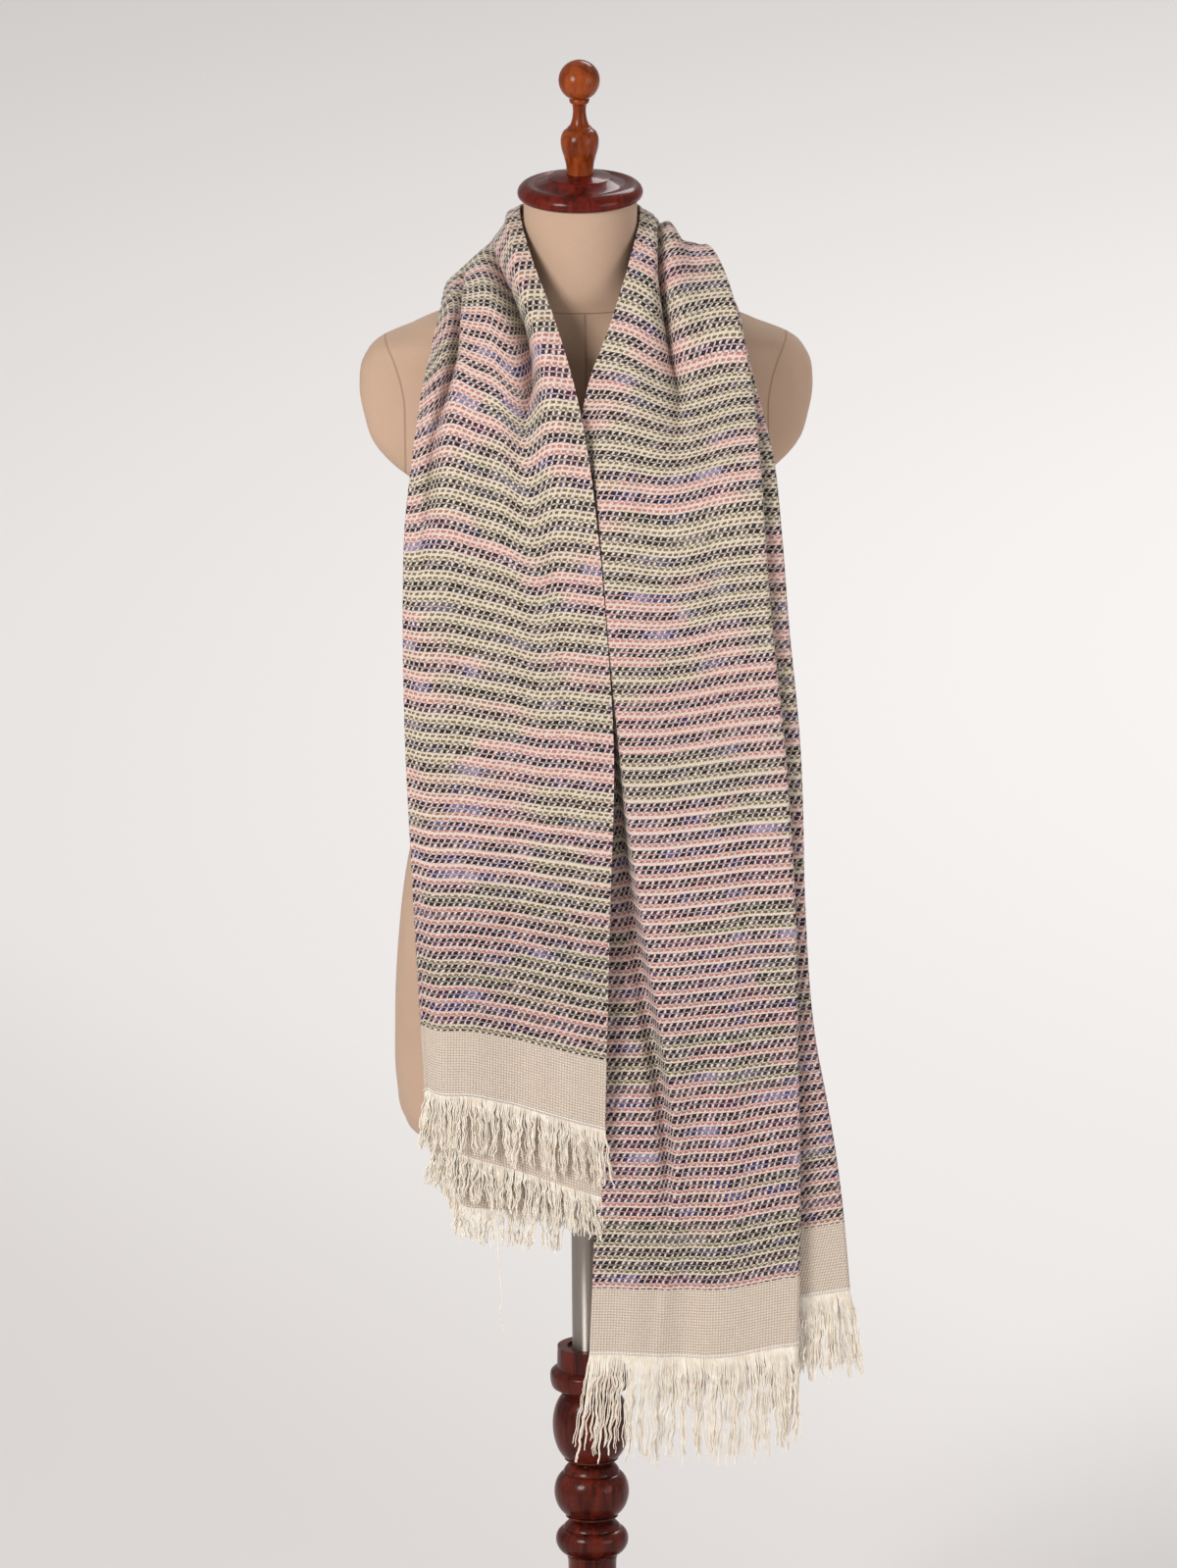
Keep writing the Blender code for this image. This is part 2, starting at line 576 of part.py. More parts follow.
def main():
    clear_scene()
    parts = bpy.data.collections.new("shawl_on_dress_form")
    bpy.context.scene.collection.children.link(parts)
    weave = material("striped_pashmina", (0.52, 0.45, 0.42), 0.9)
    cream = material("cream_pashmina", (0.80, 0.73, 0.62), 0.92)
    linen = material("beige_jersey", (0.56, 0.43, 0.33), 0.85)
    dark_wood = material("mahogany_varnish", (0.13, 0.02, 0.015), 0.25)
    light_wood = material("orange_varnish", (0.38, 0.10, 0.02), 0.25)
    steel = material("polished_steel", (0.62, 0.60, 0.58), 0.25, 1.0)

    half = SEAM_GAP / 2
    long_band = SHAWL_LENGTH - BAND
    shawl_stretch("band_short_end", 0.0, BAND - half, BAND / 2, cream, parts)
    shawl_stretch("shawl_short_end", BAND + half, NECK_FROM - half,
                  HANGING_SECTIONS, weave, parts)
    shawl_stretch("shawl_neck", NECK_FROM + half, NECK_TO - half,
                  NECK_SECTIONS, weave, parts)
    shawl_stretch("shawl_long_end", NECK_TO + half, long_band - half,
                  HANGING_SECTIONS, weave, parts)
    shawl_stretch("band_long_end", long_band + half, SHAWL_LENGTH, BAND / 2, cream, parts)
    fringe("fringe_short_end", 0.0, -1, SHORT_FRINGE, cream, parts)
    fringe("fringe_long_end", SHAWL_LENGTH, 1, LONG_FRINGE, cream, parts)

    dress_form(parts, linen)
    turned("neck_cap", (CAP_TOP, 0.0165), CAP_TURNING, dark_wood, parts)
    turned("finial", (FINIAL_TOP, 0.0), FINIAL_TURNING, light_wood, parts)
    pole(parts, steel)
    turned("stand_post", (0.4156, 0.0314), POST_TURNING, dark_wood, parts,
           recess=(0.0222, POLE_FOOT))
    turned("stand_base", (BASE_HEIGHT, 0.0600), BASE_TURNING, dark_wood, parts)


main()
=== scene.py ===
"""A striped pashmina shawl round the neck of a dress form, in the order that it is put together.

Metres, +Z up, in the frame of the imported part. The form faces -Y.
"""
import math
from functools import partialmethod

import bmesh
import bpy
import numpy as np
from mathutils import Matrix, Vector


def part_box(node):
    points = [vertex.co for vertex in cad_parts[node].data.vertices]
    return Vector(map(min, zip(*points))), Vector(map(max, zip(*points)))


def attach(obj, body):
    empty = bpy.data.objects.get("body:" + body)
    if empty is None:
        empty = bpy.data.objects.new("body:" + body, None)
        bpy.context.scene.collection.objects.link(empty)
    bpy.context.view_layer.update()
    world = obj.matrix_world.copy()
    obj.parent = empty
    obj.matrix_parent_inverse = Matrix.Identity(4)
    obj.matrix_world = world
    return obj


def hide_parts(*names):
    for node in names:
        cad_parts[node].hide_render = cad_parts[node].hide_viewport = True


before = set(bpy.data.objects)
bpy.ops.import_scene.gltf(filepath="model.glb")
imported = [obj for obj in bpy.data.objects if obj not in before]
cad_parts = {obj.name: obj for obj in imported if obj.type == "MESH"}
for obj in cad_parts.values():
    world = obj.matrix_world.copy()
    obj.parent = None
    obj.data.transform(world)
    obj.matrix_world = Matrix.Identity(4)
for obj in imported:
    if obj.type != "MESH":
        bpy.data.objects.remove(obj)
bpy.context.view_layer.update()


# ---------------------------------------------------------------------------
# Stand foot and post. Turned from mahogany on a lathe, stained dark red and
# varnished. The post has beads and balls cut between its neck and its foot,
# and a hole in its top for the pole.
# ---------------------------------------------------------------------------
LATHE_SIDES = 80
LATHE_FINENESS = 3       # profile samples for each one of the frame's
WELD = 0.00001           # points closer than this become one
PROFILE_CREASE = math.radians(38)

FOOT_TOP = (0.0420, 0.0600)
FOOT_TURNING = (
    # lower height, middle radius, lower radius, samples, and for a ball its roundness
    (0.0360, 0.0900, 0.1500, 1),
    (0.0330, 0.1600, 0.1760, 2),
    (0.0000, 0.1960, 0.1820, 5),
)
POST_TOP = (0.4156, 0.0314)
POST_HOLE = (0.0222, 0.4126)
POST_TURNING = (
    (0.3950, 0.0318, 0.0320, 1),
    (0.3915, 0.0350, 0.0370, 1),
    (0.3750, 0.0386, 0.0358, 3),
    (0.3665, 0.0298, 0.0268, 2),
    (0.3050, 0.0368, 0.0254, 6, 1.4),
    (0.3025, 0.0260, 0.0250, 1),
    (0.2990, 0.0210, 0.0190, 2),
    (0.2895, 0.0250, 0.0262, 2),
    (0.2480, 0.0357, 0.0238, 5, 1.3),
    (0.2450, 0.0252, 0.0240, 1),
    (0.2410, 0.0208, 0.0200, 2),
    (0.2340, 0.0256, 0.0268, 2),
    (0.2080, 0.0346, 0.0234, 4, 1.2),
    (0.2040, 0.0240, 0.0234, 1),
    (0.0700, 0.0244, 0.0290, 2),
    (0.0423, 0.0330, 0.0560, 3),
)


def feed(tree, socket, source):
    """Link a reading or a socket to this socket, or set its value."""
    if isinstance(source, Reading):
        source = source.socket
    if isinstance(source, bpy.types.NodeSocket):
        tree.links.new(source, socket)
    else:
        socket.default_value = source


class Reading:
    """What a node gives, as a number, a place or a colour that is worked on in plain sums."""

    def __init__(self, tree, socket):
        self.tree, self.socket = tree, socket

    def through(self, node, *others):
        """Feed this and the others to a node's first inputs, and read its first output."""
        for socket, source in zip(node.inputs, (self, *others)):
            feed(self.tree, socket, source)
        return Reading(self.tree, node.outputs[0])

    def work_out(self, operation, *others):
        node = self.tree.nodes.new("ShaderNodeMath")
        node.operation = operation
        return self.through(node, *others)

    __add__ = partialmethod(work_out, "ADD")
    __sub__ = partialmethod(work_out, "SUBTRACT")
    __mul__ = partialmethod(work_out, "MULTIPLY")
    __truediv__ = partialmethod(work_out, "DIVIDE")
    __lt__ = partialmethod(work_out, "LESS_THAN")
    __gt__ = partialmethod(work_out, "GREATER_THAN")
    __abs__ = partialmethod(work_out, "ABSOLUTE")
    at_most = partialmethod(work_out, "MINIMUM")
    at_least = partialmethod(work_out, "MAXIMUM")
    power = partialmethod(work_out, "POWER")
    floor = partialmethod(work_out, "FLOOR")
    fraction = partialmethod(work_out, "FRACT")
    sine = partialmethod(work_out, "SINE")
    cosine = partialmethod(work_out, "COSINE")

    def step(self, low, high):
        """0 below low, 1 above high, and smooth between; a low above high turns it round."""
        node = self.tree.nodes.new("ShaderNodeMapRange")
        node.interpolation_type = "SMOOTHSTEP"
        return self.through(node, low, high, 0.0, 1.0)

    def blend(self, first, second):
        """The first colour where this is 0, the second where it is 1."""
        node = self.tree.nodes.new("ShaderNodeMix")
        node.data_type = "RGBA"
        feed(self.tree, node.inputs[0], self)
        for socket, colour in zip(node.inputs[6:8], (first, second)):
            feed(self.tree, socket, (*colour, 1.0) if isinstance(colour, tuple) else colour)
        return Reading(self.tree, node.outputs[2])

    def speckle(self, scale, detail=2.0, roughness=0.5, distortion=0.0):
        """Noise at this place."""
        node = self.tree.nodes.new("ShaderNodeTexNoise")
        for word, source in (("Vector", self), ("Scale", scale), ("Detail", detail),
                             ("Roughness", roughness), ("Distortion", distortion)):
            feed(self.tree, node.inputs[word], source)
        return Reading(self.tree, node.outputs[0])

    def axes(self):
        node = self.tree.nodes.new("ShaderNodeSeparateXYZ")
        self.through(node)
        return [Reading(self.tree, socket) for socket in node.outputs]

    def beside(self, *others):
        """A place that has this as its first measure."""
        return self.through(self.tree.nodes.new("ShaderNodeCombineXYZ"), *others)


def object_place(tree, scale=(1.0, 1.0, 1.0)):
    place = Reading(tree, tree.nodes.new("ShaderNodeTexCoord").outputs["Object"])
    stretch = tree.nodes.new("ShaderNodeMapping")
    stretch.inputs["Scale"].default_value = scale
    return place.through(stretch)


def new_finish(name, roughness, **sockets):
    """A material; its named Principled sockets are set by words with underscores for spaces."""
    made = bpy.data.materials.new(name)
    made.use_nodes = True
    inputs = made.node_tree.nodes["Principled BSDF"].inputs
    inputs["Roughness"].default_value = roughness
    for word, value in sockets.items():
        inputs[word.replace("_", " ")].default_value = value
    return made, made.node_tree


def lay_on(made, colour, relief, depth, strength):
    """Give a material its colour and the small relief of its surface."""
    tree = made.node_tree
    shader = tree.nodes["Principled BSDF"]
    feed(tree, shader.inputs["Base Color"], colour)
    bump = tree.nodes.new("ShaderNodeBump")
    for word, source in (("Strength", strength), ("Distance", depth), ("Height", relief)):
        feed(tree, bump.inputs[word], source)
    tree.links.new(bump.outputs[0], shader.inputs["Normal"])
    return made


def varnished_wood(name, dark, light, figure, grain_axis=2):
    """Turned wood under clear varnish: streaks of grain run up the piece, or along another axis."""
    made, tree = new_finish(name, 0.36, Coat_Weight=0.5, Coat_Roughness=0.08, Coat_IOR=1.3,
                            Specular_IOR_Level=0.08)
    streaks_size = [34.0] * 3
    pores_size = [420.0] * 3
    streaks_size[grain_axis], pores_size[grain_axis] = 5.0, 26.0
    streaks = object_place(tree, streaks_size).speckle(2.6, 5.0, 0.6, 0.7)
    pores = object_place(tree, pores_size).speckle(1.0, 3.0, 0.6)
    grain = (pores - 0.5) * 0.35 + streaks
    return lay_on(made, grain.step(0.5 - figure, 0.5 + figure).blend(dark, light),
                  pores, 0.00012, 0.35)


def place_object(name, data):
    made = bpy.data.objects.new(name, data)
    bpy.context.scene.collection.objects.link(made)
    return made


def give_mesh(name, work, finish):
    """Turn a bmesh into an object with its finish."""
    mesh = bpy.data.meshes.new(name)
    work.to_mesh(mesh)
    work.free()
    mesh.materials.append(finish)
    return place_object(name, mesh)


def turned_profile(top, turning, hole=None):
    """Radius and height of each point of a profile, from its top down its outer side."""
    top_height, top_radius = top
    profile = [(top_radius, top_height)]
    if hole:
        hole_radius, hole_height = hole
        profile = [(0.0, hole_height), (hole_radius, hole_height), (hole_radius, top_height),
                   (top_radius, top_height)]
    elif top_radius:
        profile = [(0.0, top_height), (top_radius, top_height)]
    for lower, middle_radius, lower_radius, samples, *roundness in turning:
        start_radius, start_height = profile[-1]
        bulge = middle_radius - (start_radius + lower_radius) / 2
        count = samples * LATHE_FINENESS
        for sample in range(1, count + 1):
            angle = math.pi * sample / count
            share = (1 - math.cos(angle)) / 2
            radius = start_radius + (lower_radius - start_radius) * share
            radius += bulge * max(math.sin(angle), 0.0) ** (roundness[0] if roundness else 1.0)
            profile.append((radius, start_height + (lower - start_height) * share))
    return profile


def turn_on_lathe(name, profile, finish):
    """Sweep a profile round the pole's axis, and close it below."""
    profile = profile + [(0.0, profile[-1][1])]
    work = bmesh.new()
    verts = [work.verts.new((radius, 0.0, height)) for radius, height in profile]
    edges = [work.edges.new(pair) for pair in zip(verts, verts[1:])]
    bmesh.ops.spin(work, geom=verts + edges, cent=(0, 0, 0), axis=(0, 0, 1),
                   angle=2 * math.pi, steps=LATHE_SIDES, use_merge=True)
    bmesh.ops.remove_doubles(work, verts=work.verts, dist=WELD)
    bmesh.ops.recalc_face_normals(work, faces=work.faces)
    made = give_mesh(name, work, finish)
    made.data.shade_smooth()
    made.data.set_sharp_from_angle(angle=PROFILE_CREASE)
    return made


mahogany = varnished_wood("dark_mahogany", (0.024, 0.003, 0.002), (0.120, 0.016, 0.008), 0.22)
board_mahogany = varnished_wood("board_mahogany", (0.030, 0.004, 0.003), (0.085, 0.011, 0.006),
                                0.26, grain_axis=0)
stand_foot = turn_on_lathe("turned_foot", turned_profile(FOOT_TOP, FOOT_TURNING), board_mahogany)
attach(stand_foot, "root")
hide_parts("stand_base")
turned_post = turn_on_lathe("turned_post", turned_profile(POST_TOP, POST_TURNING, POST_HOLE),
                            mahogany)
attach(turned_post, "root")
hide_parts("stand_post")


# ---------------------------------------------------------------------------
# Pole. A polished steel tube that slides in the post and carries the form.
# ---------------------------------------------------------------------------
POLE_RADIUS = 0.0172
POLE_SIDES = 64


def brushed_steel():
    """Polished tube, whose highlights run along it."""
    made, tree = new_finish("polished_tube", 0.42, Metallic=1.0, Anisotropic=1.0,
                            Anisotropic_Rotation=0.25)
    lines = object_place(tree, (900.0, 900.0, 6.0)).speckle(1.0)
    return lay_on(made, lines.blend((0.36, 0.32, 0.29), (0.56, 0.51, 0.46)), lines, 0.00004, 0.3)


pole_low, pole_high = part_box("stand_pole")
tube = bmesh.new()
bmesh.ops.create_cone(tube, cap_ends=True, segments=POLE_SIDES, radius1=POLE_RADIUS,
                      radius2=POLE_RADIUS, depth=pole_high[2] - pole_low[2],
                      matrix=Matrix.Translation((0, 0, (pole_high[2] + pole_low[2]) / 2)))
steel_pole = give_mesh("steel_pole", tube, brushed_steel())
steel_pole.data.shade_smooth()
steel_pole.data.set_sharp_from_angle(angle=PROFILE_CREASE)
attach(steel_pole, "root")
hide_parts("stand_pole")


# ---------------------------------------------------------------------------
# Dress form. A padded body with arm caps and a neck, covered in beige jersey
# that is sewn together down the centre front, round the neck and round each
# armhole.
# ---------------------------------------------------------------------------
FORM = (
    # height, half width, depth in front, depth behind, reach of the arm cap
    (0.630, 0.156, 0.094, 0.100, 0.0),
    (0.635, 0.168, 0.103, 0.109, 0.0),
    (0.650, 0.1795, 0.110, 0.117, 0.0),
    (0.680, 0.1855, 0.114, 0.123, 0.0),
    (0.740, 0.1868, 0.116, 0.126, 0.0),
    (0.820, 0.1830, 0.114, 0.124, 0.0),
    (0.900, 0.1730, 0.107, 0.113, 0.0),
    (0.990, 0.1490, 0.094, 0.096, 0.0),
    (1.060, 0.132, 0.088, 0.086, 0.0),
    (1.130, 0.138, 0.096, 0.088, 0.0),
    (1.200, 0.152, 0.114, 0.096, 0.0),
    (1.250, 0.162, 0.118, 0.100, 0.0),
    (1.280, 0.166, 0.112, 0.101, 0.0),
    (1.292, 0.168, 0.109, 0.101, 0.014),
    (1.310, 0.171, 0.103, 0.101, 0.028),
    (1.340, 0.174, 0.090, 0.099, 0.036),
    (1.370, 0.177, 0.076, 0.092, 0.037),
    (1.395, 0.180, 0.064, 0.080, 0.029),
    (1.412, 0.180, 0.061, 0.070, 0.014),
    (1.424, 0.166, 0.056, 0.063, 0.0),
    (1.438, 0.134, 0.051, 0.056, 0.0),
    (1.452, 0.096, 0.052, 0.054, 0.0),
    (1.464, 0.071, 0.055, 0.056, 0.0),
    (1.478, 0.0585, 0.056, 0.057, 0.0),
    (1.500, 0.0545, 0.0545, 0.0545, 0.0),
    (1.5472, 0.0535, 0.0535, 0.0535, 0.0),
)
FORM_SIDES = 144
FORM_RINGS = 5           # rings between neighbouring rows of the table
FORM_SQUARENESS = 2.25
FORM_OFFSET_X = 0.004
OFFSET_FADES = (1.40, 1.48)
NECK_ROUNDS = (1.40, 1.47)
ARM_CAP_HALF_DEPTH = 0.050
ARM_CAP_FADES = (0.35, 0.65)  # of the half width
NECK_SEAM_HEIGHT = 1.469  # the neck seam dips in front
NECK_SEAM_DIP = 0.40
ARMHOLE_X = 0.171        # the armhole seam runs straight up, and bows out higher up
ARMHOLE_FROM = 1.27
ARMHOLE_BOWS_FROM = 1.35
ARMHOLE_BOW = 4.4
SEAM_EDGES = (0.0014, 0.0004)  # half width of a seam, at its outer and inner edges
FORM_CREASE = math.radians(50)


def read_table(rows, where):
    """Read a table smoothly at many distances; past its ends it runs on straight."""
    table = np.array(rows, dtype=float)
    at, values = table[:, 0], table[:, 1:]
    slopes = np.gradient(values, at, axis=0)
    where = np.asarray(where, dtype=float)
    place = np.clip(np.searchsorted(at, where) - 1, 0, len(at) - 2)
    span = (at[place + 1] - at[place])[..., None]
    t = (where - at[place])[..., None] / span
    start, end = values[place], values[place + 1]
    rise = end - start
    leave, arrive = slopes[place] * span, slopes[place + 1] * span
    within = start + t * leave + t ** 2 * (3 * rise - 2 * leave - arrive)
    within = within + t ** 3 * (leave + arrive - 2 * rise)
    before = start + slopes[place] * (where - at[place])[..., None]
    after = end + slopes[place + 1] * (where - at[place + 1])[..., None]
    return np.where(t < 0, before, np.where(t > 1, after, within))


def held_table(rows, where):
    """Read a table, but hold its first and last rows past its ends."""
    return read_table(rows, np.clip(where, rows[0][0], rows[-1][0]))


def smooth_step(low, high, value):
    t = np.clip((value - low) / (high - low), 0.0, 1.0)
    return t * t * (3 - 2 * t)


def sew_form(finish):
    heights = []
    for (lower, *_), (upper, *_) in zip(FORM, FORM[1:]):
        heights += list(np.linspace(lower, upper, FORM_RINGS, endpoint=False))
    heights.append(FORM[-1][0])
    angles = 2 * np.pi * np.arange(FORM_SIDES) / FORM_SIDES
    cosine, sine = np.cos(angles), np.sin(angles)
    work = bmesh.new()
    rings = []
    for height in heights:
        half_width, front, back, arm_cap = read_table(FORM, height)
        rounder = float(smooth_step(*NECK_ROUNDS, height))
        power = 2 / (FORM_SQUARENESS + (2.0 - FORM_SQUARENESS) * rounder)
        y = np.sign(sine) * np.abs(sine) ** power * np.where(sine > 0, back, front)
        reach = half_width * np.abs(cosine) ** power
        cap = max(arm_cap, 0.0) * np.exp(-(y / ARM_CAP_HALF_DEPTH) ** 4)
        reach = reach + cap * smooth_step(*ARM_CAP_FADES, np.abs(cosine))
        centre = FORM_OFFSET_X * (1 - float(smooth_step(*OFFSET_FADES, height)))
        x = centre + np.sign(cosine) * reach
        rings.append([work.verts.new((a, b, height)) for a, b in zip(x, y)])
    for ring, following in zip(rings, rings[1:]):
        for side in range(FORM_SIDES):
            other = (side + 1) % FORM_SIDES
            work.faces.new((ring[side], ring[other], following[other], following[side]))
    work.faces.new(list(reversed(rings[0])))
    work.faces.new(rings[-1])
    made = give_mesh("jersey_form", work, finish)
    made.data.shade_smooth()
    made.data.set_sharp_from_angle(angle=FORM_CREASE)
    return made


def beige_jersey():
    """Fine brushed jersey, with its seams as thin sunken lines that read a little darker."""
    made, tree = new_finish("beige_jersey_cover", 0.85, Sheen_Weight=0.10, Sheen_Roughness=0.5,
                            Specular_IOR_Level=0.2)
    place = object_place(tree)
    x, y, z = place.axes()
    over_neck = z - (y.at_most(0.0) * NECK_SEAM_DIP + NECK_SEAM_HEIGHT)
    from_centre = abs(x - FORM_OFFSET_X)
    centre_seam = from_centre.step(*SEAM_EDGES) * (y < 0.0) * (over_neck < 0.0)
    neck_seam = abs(over_neck).step(*SEAM_EDGES)
    bowed = (z - ARMHOLE_BOWS_FROM).at_least(0.0)
    off_arm = abs(from_centre - (bowed * bowed * ARMHOLE_BOW + ARMHOLE_X))
    arm_seam = off_arm.step(*SEAM_EDGES) * (z > ARMHOLE_FROM)
    seams = centre_seam.at_least(neck_seam).at_least(arm_seam)
    nap = place.speckle(900.0, 2.0, 0.6)
    cloth = place.speckle(9.0, 3.0, 0.55).step(0.32, 0.66).blend((0.445, 0.297, 0.208),
                                                                 (0.482, 0.326, 0.231))
    cloth = (nap * 0.50).blend(cloth, (0.60, 0.44, 0.33))
    cloth = (seams * 0.42).blend(cloth, (0.22, 0.12, 0.075))
    return lay_on(made, cloth, nap * 0.18 - seams, 0.0008, 0.6)


jersey_form = sew_form(beige_jersey())
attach(jersey_form, "root")
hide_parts("form_body")


# ---------------------------------------------------------------------------
# Neck cap and finial. The cap is a dark mahogany disc with a rolled rim, a
# ring and a low dome. The finial is a lighter, orange-brown turned knob that
# screws into it.
# ---------------------------------------------------------------------------
CAP_TOP = (1.5720, 0.0165)
CAP_TURNING = (
    (1.5690, 0.0240, 0.0300, 2),
    (1.5620, 0.0345, 0.0435, 2),
    (1.5632, 0.0465, 0.0495, 2),
    (1.5475, 0.0592, 0.0530, 5),
)
BALL_TOP = 1.6825
BALL_RADIUS = 0.0196
BALL_NECK = 0.0088
KNOB_TURNING = (
    (1.6410, 0.0095, 0.0086, 1),
    (1.6172, 0.0064, 0.0114, 4),
    (1.6158, 0.0106, 0.0116, 1),
)
FINIAL_BODY = (
    # height, radius
    (1.5723, 0.0130),
    (1.5790, 0.0130),
    (1.5880, 0.0149),
    (1.5960, 0.0172),
    (1.6027, 0.0181),
    (1.6090, 0.0173),
    (1.6140, 0.0144),
    (1.6157, 0.0120),
)

cap_mahogany = varnished_wood("cap_mahogany", (0.050, 0.005, 0.003), (0.150, 0.013, 0.006), 0.20)
turned_cap = turn_on_lathe("turned_cap", turned_profile(CAP_TOP, CAP_TURNING), cap_mahogany)
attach(turned_cap, "root")
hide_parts("neck_cap")
light_varnish = varnished_wood("orange_finial_wood", (0.105, 0.014, 0.003), (0.30, 0.060, 0.012),
                               0.22)
body_heights = np.linspace(FINIAL_BODY[-1][0], FINIAL_BODY[0][0], 30)
ball_angles = np.linspace(0.0, math.pi - math.asin(BALL_NECK / BALL_RADIUS), 24)
finial_profile = [(BALL_RADIUS * math.sin(angle), BALL_TOP - BALL_RADIUS * (1 - math.cos(angle)))
                  for angle in ball_angles]
finial_profile += turned_profile(finial_profile[-1][::-1], KNOB_TURNING)[2:]
finial_profile += list(zip(held_table(FINIAL_BODY, body_heights)[:, 0], body_heights))
turned_finial = turn_on_lathe("turned_finial", finial_profile, light_varnish)
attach(turned_finial, "root")
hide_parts("finial")


# ---------------------------------------------------------------------------
# Shawl field. One long piece of wool, woven with pairs of dark dashed picks
# between thin coral and olive ones. It is laid in four layers, goes round the
# back of the neck and hangs down in front, short end at -X, long end at +X.
# ---------------------------------------------------------------------------
DRAPE = (
    # inner edge beside the neck x, y, z; outer fold x, y, z; short hem to long hem
    (0.0157, -0.150, 0.6745, -0.1520, -0.146, 0.7208),
    (0.0222, -0.150, 0.8880, -0.1610, -0.146, 0.9180),
    (0.0270, -0.150, 1.0470, -0.1665, -0.145, 1.0670),
    (0.0209, -0.149, 1.1700, -0.1670, -0.142, 1.1850),
    (0.0142, -0.146, 1.2560, -0.1650, -0.134, 1.2620),
    (0.0047, -0.133, 1.3360, -0.1590, -0.116, 1.3220),
    (-0.0077, -0.114, 1.3980, -0.1520, -0.098, 1.3711),
    (-0.0262, -0.090, 1.4570, -0.1440, -0.080, 1.4120),
    (-0.0450, -0.053, 1.5010, -0.1350, -0.050, 1.4475),
    (-0.0561, 0.003, 1.5310, -0.1240, 0.002, 1.4685),
    (-0.0470, 0.052, 1.5290, -0.0980, 0.088, 1.4160),
    (0.0000, 0.067, 1.5260, -0.0050, 0.128, 1.3980),
    (0.0470, 0.052, 1.5290, 0.0900, 0.092, 1.4420),
    (0.0568, 0.005, 1.5310, 0.1120, 0.012, 1.4900),
    (0.0450, -0.052, 1.4970, 0.1340, -0.046, 1.4680),
    (0.0271, -0.086, 1.4480, 0.1460, -0.080, 1.4400),
    (0.0061, -0.111, 1.3960, 0.1570, -0.104, 1.3880),
    (-0.0040, -0.133, 1.3360, 0.1630, -0.127, 1.3320),
    (0.0000, -0.146, 1.2560, 0.1677, -0.142, 1.2560),
    (0.0040, -0.149, 1.1700, 0.1730, -0.147, 1.1720),
    (0.0065, -0.150, 1.0600, 0.1836, -0.149, 1.0620),
    (0.0065, -0.150, 0.8920, 0.1932, -0.149, 0.8940),
    (0.0065, -0.150, 0.7490, 0.1950, -0.149, 0.7520),
    (0.0045, -0.150, 0.5720, 0.1960, -0.149, 0.5750),
    (-0.0010, -0.150, 0.4520, 0.1930, -0.149, 0.4518),
)
LAYERS = (
    # along, layer spacing, inner turn, outer turn, free edge
    (0.00, 0.0070, 0.03, 0.97, 0.24),
    (0.30, 0.0070, 0.12, 0.90, 0.20),
    (0.60, 0.0070, 0.18, 0.86, 0.20),
    (0.78, 0.0050, 0.30, 0.82, 0.38),
    (1.01, 0.0055, 0.28, 0.94, 0.32),
    (1.17, 0.0064, 0.36, 1.22, 0.55),
    (1.28, 0.0066, 0.32, 1.03, 0.45),
    (1.40, 0.0068, 0.26, 1.08, 0.40),
    (1.68, 0.0070, 0.26, 1.08, 0.40),
    (1.85, 0.0070, 0.36, 1.05, 0.46),
    (1.99, 0.0070, 0.48, 1.085, 0.54),
    (2.08, 0.0070, 0.52, 1.14, 0.58),
    (2.18, 0.0070, 0.46, 1.20, 0.54),
    (2.30, 0.0070, 0.38, 1.26, 0.46),
)
# How far each fold has slipped along the shawl: after the outer fold, before and after the
# inner turn, before and after the next outer fold, and at the free edge.
SLIP_SHORT_END = (-0.020, -0.066, -0.067, -0.068, -0.129, -0.100)
SLIP_LONG_END = (-0.012, -0.030, -0.034, -0.056, -0.057, -0.060)
SLIP_FADES = (0.09, 0.42)
# Folds of the front layer, as along, place across it, depth. A negative depth is a roll.
SHORT_GROOVE = ((0.56, 0.40, 0.0), (0.645, 0.37, 0.008), (0.668, 0.34, 0.012), (0.70, 0.29, 0.016),
                (0.757, 0.29, 0.019), (0.797, 0.35, 0.017), (0.836, 0.43, 0.009), (0.88, 0.46, 0.0))
SHORT_TUCK = ((0.46, 0.92, 0.0), (0.54, 0.91, 0.006), (0.614, 0.892, 0.008), (0.68, 0.885, 0.010),
              (0.705, 0.854, 0.011), (0.742, 0.815, 0.011), (0.797, 0.81, 0.008), (0.86, 0.78, 0.0))
SHORT_WAVE = ((0.00, 0.50, 0.0050), (0.25, 0.46, 0.0045), (0.50, 0.42, 0.0))
NAPE_ROLL = ((0.88, 0.55, 0.0), (0.97, 0.55, 0.010), (1.06, 0.55, 0.010), (1.14, 0.5, 0.0))
SHOULDER_ROLL = ((0.98, 0.45, 0.0), (1.08, 0.45, -0.005), (1.15, 0.45, -0.007),
                 (1.22, 0.45, 0.0))
LONG_GROOVE = ((1.12, 0.29, 0.0), (1.171, 0.32, 0.008), (1.215, 0.36, 0.011), (1.258, 0.44, 0.012),
               (1.301, 0.51, 0.012), (1.336, 0.57, 0.009), (1.36, 0.57, 0.006), (1.41, 0.55, 0.0))
LONG_WAVE = ((1.92, 0.58, 0.0), (2.06, 0.50, 0.009), (2.20, 0.46, 0.011), (2.30, 0.44, 0.009))
FOLDS = (
    # fold table, half width across the layer
    (SHORT_GROOVE, 0.085),
    (SHORT_TUCK, 0.050),
    (SHORT_WAVE, 0.130),
    (NAPE_ROLL, 0.110),
    (SHOULDER_ROLL, 0.200),
    (LONG_GROOVE, 0.080),
    (LONG_WAVE, 0.110),
)
